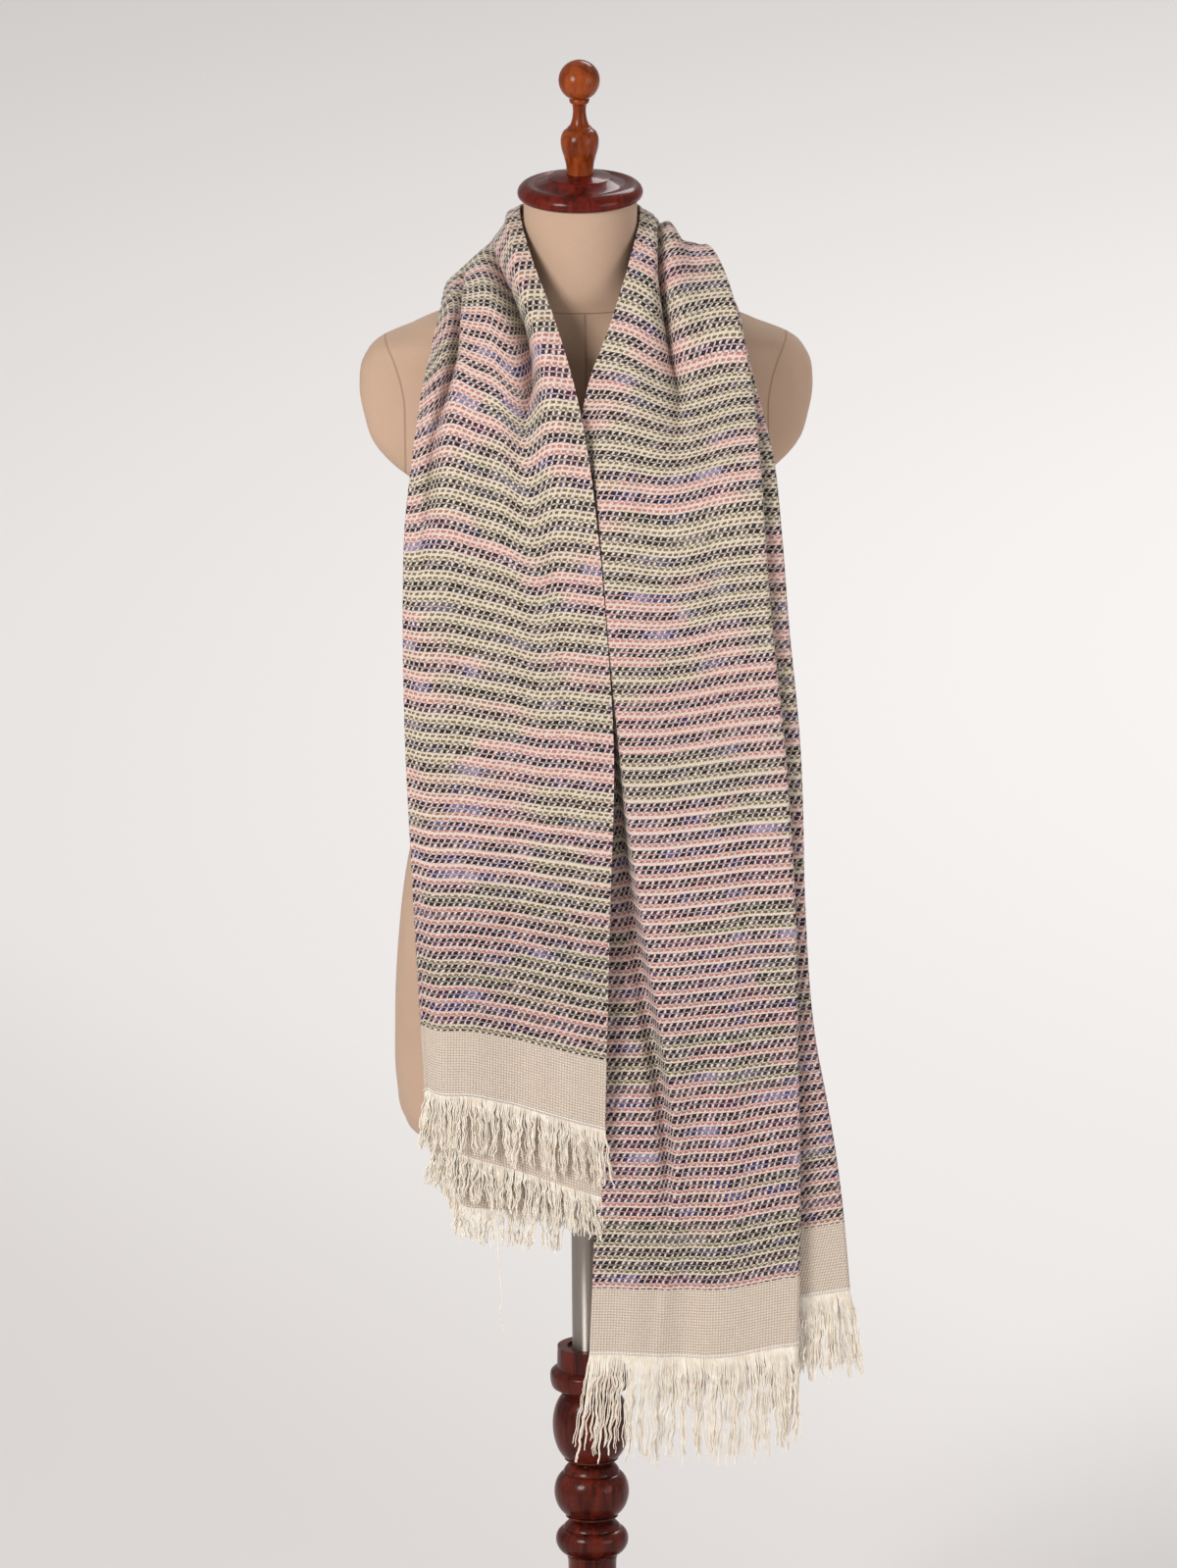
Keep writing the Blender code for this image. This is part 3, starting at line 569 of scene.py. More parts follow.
RIDGE = ((1.30, 0.09, 0.001), (1.40, 0.10, 0.011), (1.48, 0.085, 0.017), (1.57, 0.09, 0.021),
         (1.68, 0.13, 0.024), (1.85, 0.23, 0.024), (1.99, 0.34, 0.019), (2.06, 0.38, 0.013),
         (2.16, 0.36, 0.007), (2.30, 0.30, 0.002))
RIDGE_SOFTNESS = 0.026
# The front layer is deepest in a narrow valley just beside the ridge.
LONG_VALLEY = ((1.48, 0.05, 0.0), (1.60, 0.070, 0.006), (1.68, 0.105, 0.009), (1.85, 0.190, 0.008),
               (1.94, 0.255, 0.009), (1.99, 0.300, 0.010), (2.06, 0.345, 0.010), (2.12, 0.365, 0.006),
               (2.18, 0.365, 0.0))
VALLEY_HALF_WIDTH = 0.036
EDGE_ROLL = ((-0.20, 0.88, 0.012), (0.60, 0.88, 0.012), (0.80, 0.90, 0.004), (0.88, 0.90, 0.0),
             (0.95, 0.80, 0.010), (1.07, 0.80, 0.011), (1.14, 0.86, 0.0), (1.30, 0.90, 0.0))
HIDDEN_FOLD_SPREAD = 1.7
# Finer folds, which the layers behind follow less and less: table as above, half width.
INNER_ROLL = ((0.60, 0.12, 0.0), (0.70, 0.13, -0.005), (0.84, 0.11, -0.007),
              (0.95, 0.12, -0.003), (1.00, 0.12, 0.0))
SHORT_RECESS = ((0.62, 0.37, 0.0), (0.668, 0.34, 0.004), (0.70, 0.29, 0.010), (0.757, 0.29, 0.016),
                (0.797, 0.35, 0.016), (0.836, 0.43, 0.010), (0.88, 0.46, 0.0))
SHORT_CREASE = ((0.50, 0.91, 0.0), (0.60, 0.892, 0.004), (0.68, 0.885, 0.006), (0.705, 0.854, 0.008),
                (0.742, 0.815, 0.008), (0.797, 0.81, 0.006), (0.86, 0.78, 0.0))
LONG_ROLL = ((1.12, 0.24, 0.0), (1.20, 0.24, -0.004), (1.28, 0.24, -0.005), (1.36, 0.30, -0.003),
             (1.44, 0.32, 0.0))
LONG_RECESS = ((1.12, 0.29, 0.0), (1.171, 0.32, 0.012), (1.215, 0.36, 0.014), (1.258, 0.44, 0.013),
               (1.301, 0.51, 0.011), (1.336, 0.57, 0.007), (1.40, 0.56, 0.0))
NAPE_CREASE = ((0.89, 0.30, 0.0), (0.95, 0.40, 0.007), (1.03, 0.31, 0.008), (1.10, 0.39, 0.007),
               (1.18, 0.30, 0.0))
NAPE_LOW_CREASE = ((0.90, 0.84, 0.0), (0.96, 0.72, 0.007), (1.03, 0.64, 0.008), (1.09, 0.76, 0.007),
                   (1.16, 0.70, 0.0))
NAPE_LIP = ((0.90, 0.90, 0.0), (0.98, 0.86, -0.005), (1.06, 0.90, -0.006), (1.14, 0.86, 0.0))
FINE_FOLDS = (
    (INNER_ROLL, 0.100),
    (SHORT_RECESS, 0.031),
    (SHORT_CREASE, 0.028),
    (LONG_ROLL, 0.120),
    (LONG_RECESS, 0.031),
    (NAPE_CREASE, 0.040),
    (NAPE_LOW_CREASE, 0.042),
    (NAPE_LIP, 0.060),
)
# Soft wrinkles where the wool has settled unevenly.
WRINKLES = (
    # along, place, half length, half width, lean, depth
    (0.60, 0.58, 0.090, 0.060, -0.30, 0.0028),
    (0.52, 0.24, 0.110, 0.050, 0.20, 0.0030),
    (0.40, 0.70, 0.140, 0.070, -0.25, 0.0022),
    (0.24, 0.22, 0.120, 0.060, 0.10, 0.0026),
    (0.14, 0.74, 0.100, 0.080, -0.15, -0.0022),
    (0.06, 0.30, 0.080, 0.060, 0.00, 0.0020),
    (0.94, 0.24, 0.050, 0.045, 0.80, 0.0050),
    (1.02, 0.50, 0.060, 0.040, -0.60, -0.0055),
    (1.09, 0.60, 0.045, 0.045, 0.90, 0.0050),
    (0.97, 0.92, 0.040, 0.060, -0.70, 0.0050),
    (1.06, 0.16, 0.050, 0.040, 0.50, -0.0045),
    (1.12, 0.92, 0.040, 0.060, 0.60, 0.0050),
    (1.44, 0.36, 0.070, 0.050, 0.35, 0.0026),
    (1.50, 0.74, 0.110, 0.060, -0.20, 0.0024),
    (1.66, 0.48, 0.130, 0.070, 0.10, 0.0020),
    (1.82, 0.80, 0.140, 0.070, -0.05, 0.0026),
    (1.98, 0.66, 0.120, 0.060, 0.15, -0.0024),
    (2.12, 0.78, 0.110, 0.060, -0.10, 0.0024),
    (2.20, 0.20, 0.080, 0.060, 0.05, -0.0022),
)
# The front fold's edge stands off the layers behind it at the long end's shoulder.
EDGE_LIFT = ((1.06, 0.0), (1.14, 0.008), (1.24, 0.010), (1.32, 0.006), (1.40, 0.0))
LIFT_FROM = 0.70
# The rows of the short end climb from its groove to its crease: across the front layer, climb.
ROW_CLIMB = ((0.0, 0.0), (0.23, 0.003), (0.36, -0.008), (0.50, 0.010), (0.64, 0.021), (0.82, 0.034),
             (1.0, 0.020))
CLIMB_AMOUNT = ((0.25, 0.0), (0.40, 0.2), (0.525, 0.5), (0.585, 0.7), (0.65, 1.0), (0.69, 1.25),
                (0.746, 0.9), (0.80, 0.5), (0.87, 0.0))
# The rows of the long end dip in its groove: along, middle of the dip, dip, fall at the outer fold.
ROW_DIP = ((1.10, 0.32, 0.0, 0.0), (1.215, 0.36, 0.0145, -0.006), (1.258, 0.44, 0.016, 0.002),
           (1.301, 0.51, 0.0175, 0.0095), (1.34, 0.57, 0.016, 0.002), (1.38, 0.55, 0.014, -0.006),
           (1.44, 0.50, 0.009, -0.010), (1.48, 0.50, 0.010, -0.004), (1.56, 0.45, 0.007, -0.009),
           (1.70, 0.40, 0.004, -0.010), (1.90, 0.40, 0.003, -0.007), (2.10, 0.45, 0.005, -0.004),
           (2.28, 0.50, 0.006, -0.001))
DIP_HALF_WIDTH = 0.26
WALL = 0.0016            # thickness of the wool
FRONT_STEPS = 72
BACK_STEPS = 22
TURN_STEPS = 8
HANGING_ROWS = 0.0070    # spacing of the mesh's rows
NECK_ROWS = 0.0048
NECK_FROM = 0.70
NECK_TO = 1.32
BAND = 0.066             # length of each plain band
NEARBY = 0.003           # step for reading directions
CLOTH_CREASE = math.radians(60)


def lengths_along(points):
    """The distance along a line to each of its points."""
    return np.concatenate(([0.0], np.cumsum(np.linalg.norm(np.diff(points, axis=0), axis=1))))


def points_at(places, at, points):
    """Read a line's points at other places along it."""
    return np.column_stack([np.interp(places, at, points[:, axis]) for axis in range(3)])


def distances_along(rows):
    """Put the distance along the middle of the shawl before each row of the drape."""
    table = np.array(rows)
    return np.column_stack((lengths_along((table[:, :3] + table[:, 3:]) / 2), table))


DRAPE_ALONG = distances_along(DRAPE)
SHAWL_LENGTH = float(DRAPE_ALONG[-1, 0])


def unit(vectors):
    """The same directions, one metre long."""
    return vectors / np.linalg.norm(vectors, axis=-1, keepdims=True)


def bump_at(place, centre, half_width):
    return np.exp(-((place - centre) / half_width) ** 2)


def weft_samples():
    """One row of the weave: its layers, its shares across them, and which samples turn."""
    layers, shares, turning = [], [], []
    for layer, steps in enumerate((FRONT_STEPS, BACK_STEPS, BACK_STEPS, BACK_STEPS)):
        for step in range(steps + 1):
            layers.append(layer)
            shares.append(step / steps)
            turning.append(False)
        if layer < 3:
            for step in range(1, TURN_STEPS):
                layers.append(layer)
                shares.append(step / TURN_STEPS)
                turning.append(True)
    return np.array(layers), np.array(shares), np.array(turning)


def row_drift(along, shares):
    """How far the rows of the front layer stray along the shawl."""
    climb = held_table(CLIMB_AMOUNT, along)[0] * held_table(ROW_CLIMB, shares)[:, 0]
    middle, dip, fall = held_table(ROW_DIP, along)
    return climb + dip * bump_at(shares, middle, DIP_HALF_WIDTH) + fall * shares


def slip_at(along, layers, shares, turning):
    """How far each sample of a row has slipped along the shawl."""
    toward = along / SHAWL_LENGTH
    from_hem = min(abs(along), abs(SHAWL_LENGTH - along))
    hold = 1 - smooth_step(*SLIP_FADES, from_hem)
    slips = [hold * (a + (b - a) * toward) for a, b in zip(SLIP_SHORT_END, SLIP_LONG_END)]
    starts = np.array((0.0, slips[0], slips[2], slips[3]))
    ends = np.array((slips[0] * 0.5, slips[1], slips[3], slips[4]))
    following = np.append(starts[1:], 0.0)
    on_turn = ends[layers] + (following[layers] - ends[layers]) * shares
    ramp = np.where(layers == 0, smooth_step(0.7, 1.0, shares), shares)
    ramp = np.where(layers % 2 == 1, smooth_step(0.0, 0.2, shares), ramp)
    on_layer = starts[layers] + (ends[layers] - starts[layers]) * ramp
    on_layer = on_layer + np.where(layers == 3, (slips[5] - slips[4]) * shares, 0.0)
    edge = row_drift(along, np.ones(1))[0]
    drift = np.where(layers == 0, np.where(turning, edge, row_drift(along, shares)), 0.0)
    drift = np.where((layers == 1) & ~turning, edge * (1 - shares), drift)
    return np.where(turning, on_turn, on_layer) + drift


def relief(there, place, level):
    """Depth of the cloth below its plain surface, from its folds."""
    place = np.clip(place, 0.0, 1.0)
    spread = 1 + (HIDDEN_FOLD_SPREAD - 1) * np.minimum(level, 1.0)
    depth = np.zeros_like(there)
    for fold, half_width in FOLDS:
        centre, deep = held_table(fold, there).T
        depth += deep * bump_at(place, centre, half_width * spread)
    ridge, recess = held_table(RIDGE, there).T
    strip = 1 - smooth_step(ridge - RIDGE_SOFTNESS, ridge + RIDGE_SOFTNESS, place)
    valley, deep = held_table(LONG_VALLEY, there).T
    beside = recess * strip + deep * bump_at(place, valley, VALLEY_HALF_WIDTH)
    depth += np.where(level == 0.0, beside, 0.0)
    roll_from, roll_depth = held_table(EDGE_ROLL, there).T
    roll_from = 1 - (1 - roll_from) * spread
    depth += roll_depth * np.maximum(0.0, (place - roll_from) / (1 - roll_from)) ** 2
    follows = 1 - level / 4
    for fold, half_width in FINE_FOLDS:
        centre, deep = held_table(fold, there).T
        depth += follows * deep * bump_at(place, centre, half_width)
    for along, centre, half_length, half_width, lean, deep in WRINKLES:
        off = there - along
        depth += follows * deep * bump_at(off, 0, half_length) * \
            bump_at(place, centre + lean * off, half_width)
    lift = held_table(EDGE_LIFT, there)[:, 0] * np.where(level <= 1.0, 1.0, 0.0)
    depth -= lift * smooth_step(LIFT_FROM, 1.0, place)
    return depth


def weft_row(along, samples):
    """The points of one weft row of the shawl."""
    layers, shares, turning = samples
    gap, inner_turn, outer_turn, free_edge = held_table(LAYERS, along)
    starts = np.array((0.0, 1.0, inner_turn, outer_turn))
    ends = np.array((1.0, inner_turn, outer_turn, free_edge))
    angle = np.pi * shares
    place = np.where(turning, ends[layers],
                     starts[layers] + (ends[layers] - starts[layers]) * shares)
    level = layers + np.where(turning, (1 - np.cos(angle)) / 2, 0.0)
    side = np.where(layers % 2 == 0, 1.0, -1.0)
    reach = np.where(turning, np.sin(angle) * gap / 2 * side, 0.0)
    there = along + slip_at(along, layers, shares, turning)
    edges = read_table(DRAPE_ALONG, there)
    ahead = read_table(DRAPE_ALONG, there + NEARBY)
    behind = read_table(DRAPE_ALONG, there - NEARBY)
    inner, outer = edges[:, :3], edges[:, 3:]
    across = unit(outer - inner)
    width = np.linalg.norm(outer - inner, axis=1)
    travel = ahead[:, :3] + ahead[:, 3:] - behind[:, :3] - behind[:, 3:]
    outward = unit(np.cross(travel, across))
    depth = level * gap + relief(there, place, level)
    return inner + across * (place * width + reach)[:, None] - outward * depth[:, None]


def weave_cloth(name, start, end, spacing, finish):
    """A stretch of the shawl as a thin closed shell, with U across the weft and V along."""
    count = max(1, round((end - start) / spacing))
    samples = weft_samples()
    alongs = np.linspace(start, end, count + 1)
    rows = np.array([weft_row(along, samples) for along in alongs])
    after = np.array([weft_row(along + NEARBY, samples) for along in alongs])
    before = np.array([weft_row(along - NEARBY, samples) for along in alongs])
    normals = unit(np.cross(after - before, np.gradient(rows, axis=1)))
    widths = np.linalg.norm(np.diff(rows, axis=1), axis=2)
    u = np.concatenate((np.zeros((count + 1, 1)), np.cumsum(widths, axis=1)), axis=1)
    v = np.repeat(alongs[:, None], rows.shape[1], axis=1)
    points = np.concatenate((rows + normals * WALL / 2, rows - normals * WALL / 2)).reshape(-1, 3)
    wide = rows.shape[1]
    inside = (count + 1) * wide
    grid = np.arange(inside).reshape(count + 1, wide)
    a, b, c, d = grid[:-1, :-1], grid[:-1, 1:], grid[1:, 1:], grid[1:, :-1]
    outer_faces = np.stack((a, b, c, d), axis=-1).reshape(-1, 4)
    inner_faces = np.stack((a, d, c, b), axis=-1).reshape(-1, 4) + inside
    rims = []
    for rim, turned in ((grid[0], True), (grid[-1], False), (grid[:, 0], False), (grid[:, -1], True)):
        near, far = rim[:-1], rim[1:]
        faces = np.stack((near, far, far + inside, near + inside), axis=-1)
        rims.append(faces[:, ::-1] if turned else faces)
    faces = np.concatenate([outer_faces, inner_faces] + rims)
    mesh = bpy.data.meshes.new(name)
    mesh.from_pydata(points.tolist(), [], faces.tolist())
    corners = np.column_stack((np.tile(u.ravel(), 2), np.tile(v.ravel(), 2)))[faces.ravel()]
    mesh.uv_layers.new(name="weave").data.foreach_set("uv", corners.ravel())
    mesh.materials.append(finish)
    mesh.validate()
    work = bmesh.new()
    work.from_mesh(mesh)
    bmesh.ops.recalc_face_normals(work, faces=work.faces)
    work.to_mesh(mesh)
    work.free()
    mesh.shade_smooth()
    mesh.set_sharp_from_angle(angle=CLOTH_CREASE)
    return place_object(name, mesh)


# The weave repeats along the shawl: two dark picks, then two thin dotted ones. Towards each
# end the repeat closes up and has one thin pick.
REPEAT = 0.0188
CLOSE_REPEAT = 0.0131
CLOSES_AT_SHORT_END = (0.30, 0.18)   # distance along where it starts to close up, and is closed
CLOSES_AT_LONG_END = (1.56, 1.96)
DASH_PITCH = 0.0061
DASH_SLANT = 0.52        # how far the dashes step aside for their distance along
PICKS = (
    # place in the open repeat, place in the close one
    (0.125, 0.165),
    (0.370, 0.490),
    (0.620, 0.810),
    (0.860, 1.300),
)
PAIR_MIDDLE = (0.2475, 0.3275)
DASH_HALF_WIDTH = 0.32   # of the pitch
DARK_HALF_HEIGHT = 0.0020  # metres
ACCENT_HALF_HEIGHT = 0.0010
ACCENT_FROM_PAIR = 0.0049  # the outer accent dots, from the middle of the dark pair
THIN_HALF_HEIGHT = 0.0011
BLUSH_GROUND, STRAW_GROUND = (0.83, 0.665, 0.595), (0.80, 0.688, 0.560)
CORAL, PLUM, OLIVE = (0.56, 0.20, 0.175), (0.27, 0.095, 0.18), (0.140, 0.118, 0.020)
THIN_CORAL, THIN_OLIVE = (0.50, 0.150, 0.125), (0.088, 0.078, 0.010)
DARK_OLIVE, PALE_DASH, PALE_GAP = (0.018, 0.018, 0.012), (0.30, 0.24, 0.34), (0.84, 0.78, 0.75)
# Painted shade between the threads, and a painted highlight on their fibres.
THREAD_SHADOW, FIBRE_HIGHLIGHT = (0.40, 0.30, 0.25), (0.92, 0.85, 0.78)
MOSTLY_CORAL = ((1.80, 1.95), (2.18, 2.10))  # where that starts and ends, low on the long end
DARK_TONES = (
    # tone of the row, colour of its dark dashes
    (0.32, (0.25, 0.22, 0.38)),
    (0.38, (0.026, 0.028, 0.130)),
    (0.45, (0.012, 0.008, 0.030)),
    (0.54, (0.014, 0.010, 0.018)),
    (0.62, (0.070, 0.012, 0.055)),
    (0.70, (0.026, 0.028, 0.022)),
)


def weave_place(tree):
    """Metres across the cloth and along it."""
    node = tree.nodes.new("ShaderNodeUVMap")
    node.uv_map = "weave"
    return Reading(tree, node.outputs[0])


def pashmina_weave():
    """Dashed picks in drifting colours over cream and blush picks, raised as threads."""
    made, tree = new_finish("dashed_pashmina_weave", 0.9, Sheen_Weight=0.22, Sheen_Roughness=0.22,
                            Specular_IOR_Level=0.08)
    place = weave_place(tree)
    u, v, _ = place.axes()
    uneven = place.speckle(240.0) - 0.5
    fuzz = place.speckle(1300.0, 2.0, 0.6) - 0.5

    # Repeats that have passed, and how far the repeat has closed up here.
    closes = 1 / CLOSE_REPEAT - 1 / REPEAT
    repeats = v / REPEAT + uneven * 0.10
    closeness = 0.0
    for starts, closed in (CLOSES_AT_SHORT_END, CLOSES_AT_LONG_END):
        share = (v - starts) / (closed - starts)
        ramp = share.at_least(0.0).at_most(1.0)
        passed = ramp * ramp * 0.5 + (share - 1.0).at_least(0.0)
        repeats = repeats + passed * (closes * (closed - starts))
        closeness = ramp + closeness
    row, within = repeats.floor(), repeats.fraction()
    size = closeness * (CLOSE_REPEAT - REPEAT) + REPEAT
    pitches = (v * DASH_SLANT + u) / DASH_PITCH + uneven * 0.7
    from_dash = abs(pitches.fraction() - 0.5) + fuzz * 0.24

    def from_pick(open_place, close_place):
        """Metres from the middle of a pick."""
        middle = closeness * (close_place - open_place) + open_place
        return abs(within - middle) * size + fuzz * 0.0009

    def along_row(step_u, step_row, seed):
        """A smooth tone that drifts along the row and changes from row to row."""
        return (u * step_u).beside(row * step_row, seed).speckle(1.0, 2.0, 0.55)

    first, second, *thin = [from_pick(*places) for places in PICKS]
    near_pair = first.at_most(second)
    from_middle = from_pick(*PAIR_MIDDLE)
    beside_pair = abs(from_middle - ACCENT_FROM_PAIR).at_most(from_middle)

    # Each dash is a little wider or narrower, darker or lighter than the next.
    single = tree.nodes.new("ShaderNodeTexWhiteNoise")
    single.noise_dimensions = "2D"
    chance = pitches.floor().beside((second < first) * 0.5 + row).through(single)
    past_edge = from_dash - (chance * -0.10 + (DASH_HALF_WIDTH + 0.05))
    dark_dash = past_edge.step(0.06, -0.06) * near_pair.step(DARK_HALF_HEIGHT * 1.15,
                                                             DARK_HALF_HEIGHT * 0.75)
    in_gap = past_edge.step(0.0, 0.10) * near_pair.step(DARK_HALF_HEIGHT * 1.3,
                                                        DARK_HALF_HEIGHT * 0.8)
    accent_dash = from_dash.step(0.26, 0.36) * beside_pair.step(ACCENT_HALF_HEIGHT * 1.4,
                                                                ACCENT_HALF_HEIGHT * 0.7)
    upper, lower = [off.step(THIN_HALF_HEIGHT * 1.4, THIN_HALF_HEIGHT * 0.7)
                    * along_row(9.0, 0.9, seed).step(0.10, 0.40)
                    for off, seed in zip(thin, (3.0, 19.0))]
    thin_dash = from_dash.step(0.36, 0.26) * upper.at_least(lower)

    # The rows are mostly coral low on the long end, and olive again by its band.
    starts, ends = MOSTLY_CORAL
    zone = v.step(*starts) * v.step(*ends) * -0.07 + along_row(3.4, 0.31, 0.0)
    olive_zone = zone.step(0.47, 0.53)
    plum_zone = along_row(11.0, 0.9, 7.0).step(0.46, 0.60)
    ground = olive_zone.blend(BLUSH_GROUND, STRAW_GROUND)
    accent = olive_zone.blend(plum_zone.blend(CORAL, PLUM), OLIVE)
    thin_colour = olive_zone.blend(THIN_CORAL, THIN_OLIVE)
    tones = tree.nodes.new("ShaderNodeValToRGB")
    stops = tones.color_ramp.elements
    stops[0].position, stops[1].position = DARK_TONES[0][0], DARK_TONES[-1][0]
    for position, _ in DARK_TONES[1:-1]:
        stops.new(position)
    for stop, (_, colour) in zip(stops, DARK_TONES):
        stop.color = (*colour, 1.0)
    dark_colour = (olive_zone * 0.6).blend(along_row(17.0, 1.7, 11.0).through(tones), DARK_OLIVE)
    dark_colour = (chance.power(4.0) * 0.34).blend(dark_colour, PALE_DASH)
    dark_strength = along_row(7.0, 0.8, 23.0).step(0.24, 0.44) * 0.15 + 0.85

    # The wool's grain: painted shade between the threads and a painted highlight on their fibres.
    grain = place.speckle(1050.0, 2.0, 0.7)
    cloth = (grain.step(0.50, 0.34) * 0.62).blend(ground, THREAD_SHADOW)
    cloth = (in_gap * 0.40).blend(cloth, PALE_GAP)
    cloth = (accent_dash * 0.78).blend(cloth, accent)
    cloth = (thin_dash * 0.95).blend(cloth, thin_colour)
    cloth = (dark_dash * dark_strength).blend(cloth, dark_colour)
    # Painted highlight: speckles of the grain are lit paler, less so on the dark dashes.
    pale = grain.step(0.52, 0.68) * (dark_dash * -0.42 + 0.55)
    cloth = pale.blend(cloth, FIBRE_HIGHLIGHT)
    rib = (within * (8 * math.pi)).cosine() * 0.3
    relief = dark_dash.at_least(thin_dash) + fuzz * 1.2 + rib - in_gap * 0.4
    return lay_on(made, cloth, relief, 0.0009, 0.9)


weave = pashmina_weave()
shawl_short = weave_cloth("shawl_short_end_cloth", BAND, NECK_FROM, HANGING_ROWS, weave)
shawl_neck = weave_cloth("shawl_neck_cloth", NECK_FROM, NECK_TO, NECK_ROWS, weave)
shawl_long = weave_cloth("shawl_long_end_cloth", NECK_TO, SHAWL_LENGTH - BAND, HANGING_ROWS, weave)
for piece, node in ((shawl_short, "shawl_short_end"), (shawl_neck, "shawl_neck"),
                    (shawl_long, "shawl_long_end")):
    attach(piece, "root")
    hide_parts(node)


# ---------------------------------------------------------------------------
# End bands. The last 66 mm of each end are woven plain, in cream, in one with
# the field. Their weave is a fine square grid of warp and weft.
# ---------------------------------------------------------------------------
THREAD_PITCH = 0.0027
BAND_ROWS = 0.0055


def cream_band():
    made, tree = new_finish("plain_cream_weave", 0.92, Sheen_Weight=0.12, Sheen_Roughness=0.6,
                            Specular_IOR_Level=0.12)
    place = weave_place(tree)
    warp, weft = [abs((axis * (math.pi / THREAD_PITCH)).sine()) for axis in place.axes()[:2]]
    grid = warp * weft
    # Painted shade: the cloth is darker in the gaps between the threads.
    cloth = grid.blend((0.52, 0.405, 0.315), (0.97, 0.845, 0.715))
    cloth = (place.speckle(90.0, 4.0, 0.6) * 0.30).blend(cloth, (0.90, 0.81, 0.70))
    return lay_on(made, cloth, place.speckle(2200.0) * 0.5 + grid, 0.0013, 0.9)


cream = cream_band()
band_short = weave_cloth("band_short_end_cloth", 0.0, BAND, BAND_ROWS, cream)
band_long = weave_cloth("band_long_end_cloth", SHAWL_LENGTH - BAND, SHAWL_LENGTH, BAND_ROWS, cream)
for piece, node in ((band_short, "band_short_end"), (band_long, "band_long_end")):
    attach(piece, "root")
    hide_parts(node)


# ---------------------------------------------------------------------------
# Fringe. Loose warp ends of crimped cream yarn, left hanging below each band.
# They cling together in small locks. One long thread has worked loose.
# ---------------------------------------------------------------------------
YARNS = 820              # at each end
LOCK = 4                 # yarns that cling together, about
YARN_RADIUS = 0.00050
YARN_POINTS = 7
CRIMP_POINTS = 24
LOCK_CLING = 0.45        # share of the way to its lock's middle, at a yarn's tip
LOCK_LEAN = 0.0030
LEAN_BY_AXIS = (1.0, 0.45, 0.15)
YARN_STRAY = 0.0014
SHORT_FRINGE = (0.054, 0.042, 0.040, 0.034)  # by layer, from the front
LONG_FRINGE = (0.096, 0.074, 0.074, 0.074)
SHORT_FRINGE_VARIES = 0.005
LONG_FRINGE_VARIES = 0.011
FRINGE_FLARE = 0.010     # how far the outermost yarns of a hem swing out
LOOSE_THREAD = ((-0.0870, -0.139, 0.575), (-0.0868, -0.139, 0.548), (-0.0850, -0.138, 0.525),
                (-0.0835, -0.138, 0.505), (-0.0858, -0.138, 0.492), (-0.0842, -0.139, 0.480),
                (-0.0812, -0.139, 0.472))


def thread_spinner(name, sides, crimped):
    """Geometry nodes: each spline becomes a thread with its finish, and a yarn is crimped too."""
    tree = bpy.data.node_groups.new(name, "GeometryNodeTree")
    for word, way, kind in (("Lines", "INPUT", "Geometry"), ("Radius", "INPUT", "Float"),
                            ("Crimp", "INPUT", "Float"), ("Crimps per metre", "INPUT", "Float"),
                            ("Finish", "INPUT", "Material"), ("Thread", "OUTPUT", "Geometry")):
        tree.interface.new_socket(word, in_out=way, socket_type="NodeSocket" + kind)

    def add(kind, *sources, operation=None, **named):
        node = tree.nodes.new(kind)
        if operation:
            node.operation = operation
        for socket, source in zip(node.inputs, sources):
            feed(tree, socket, source)
        for word, source in named.items():
            feed(tree, node.inputs[word.replace("_", " ")], source)
        return node.outputs

    given = add("NodeGroupInput")
    line = given["Lines"]
    if crimped:
        fine = add("GeometryNodeResampleCurve", Curve=line, Count=CRIMP_POINTS)[0]
        waves = add("ShaderNodeTexNoise", Vector=add("GeometryNodeInputPosition")[0],
                    Scale=given["Crimps per metre"], Detail=1.0)["Color"]
        centred = add("ShaderNodeVectorMath", waves, (0.5, 0.5, 0.5), operation="SUBTRACT")[0]
        below_hem = Reading(tree, add("GeometryNodeSplineParameter")["Factor"])
        amount = (below_hem * 4.0).at_most(1.0) * given["Crimp"]
        offset = add("ShaderNodeVectorMath", centred, operation="SCALE", Scale=amount)[0]
        line = add("GeometryNodeSetPosition", Geometry=fine, Offset=offset)[0]
    section = add("GeometryNodeCurvePrimitiveCircle", Resolution=sides, Radius=given["Radius"])[0]
    spun = add("GeometryNodeCurveToMesh", Curve=line, Profile_Curve=section, Fill_Caps=True)[0]
    if crimped:
        spun = add("GeometryNodeSetShadeSmooth", Geometry=spun)[0]
    real = add("GeometryNodeRealizeInstances", Geometry=spun)[0]
    add("NodeGroupOutput",
        add("GeometryNodeSetMaterial", Geometry=real, Material=given["Finish"])[0])
    return tree


def spin_lines(name, lines, spinner, finish, radius, crimp=0.0, per_metre=0.0):
    """Run a spinner over splines through these points, and keep a plain mesh."""
    data = bpy.data.curves.new(name, "CURVE")
    data.dimensions = "3D"
    for line in lines:
        spline = data.splines.new("POLY")
        spline.points.add(len(line) - 1)
        spline.points.foreach_set("co", np.column_stack((line, np.ones(len(line)))).ravel())
    holder = place_object(name + "_lines", data)
    maker = holder.modifiers.new("spin", "NODES")
    maker.node_group = spinner
    settings = {"Finish": finish, "Radius": radius, "Crimp": crimp, "Crimps per metre": per_metre}
    for item in spinner.interface.items_tree:
        if item.name in settings:
            maker[item.identifier] = settings[item.name]
    evaluated = holder.evaluated_get(bpy.context.evaluated_depsgraph_get())
    mesh = bpy.data.meshes.new_from_object(evaluated)
    mesh.name = name
    bpy.data.objects.remove(holder)
    bpy.data.curves.remove(data)
    return place_object(name, mesh)


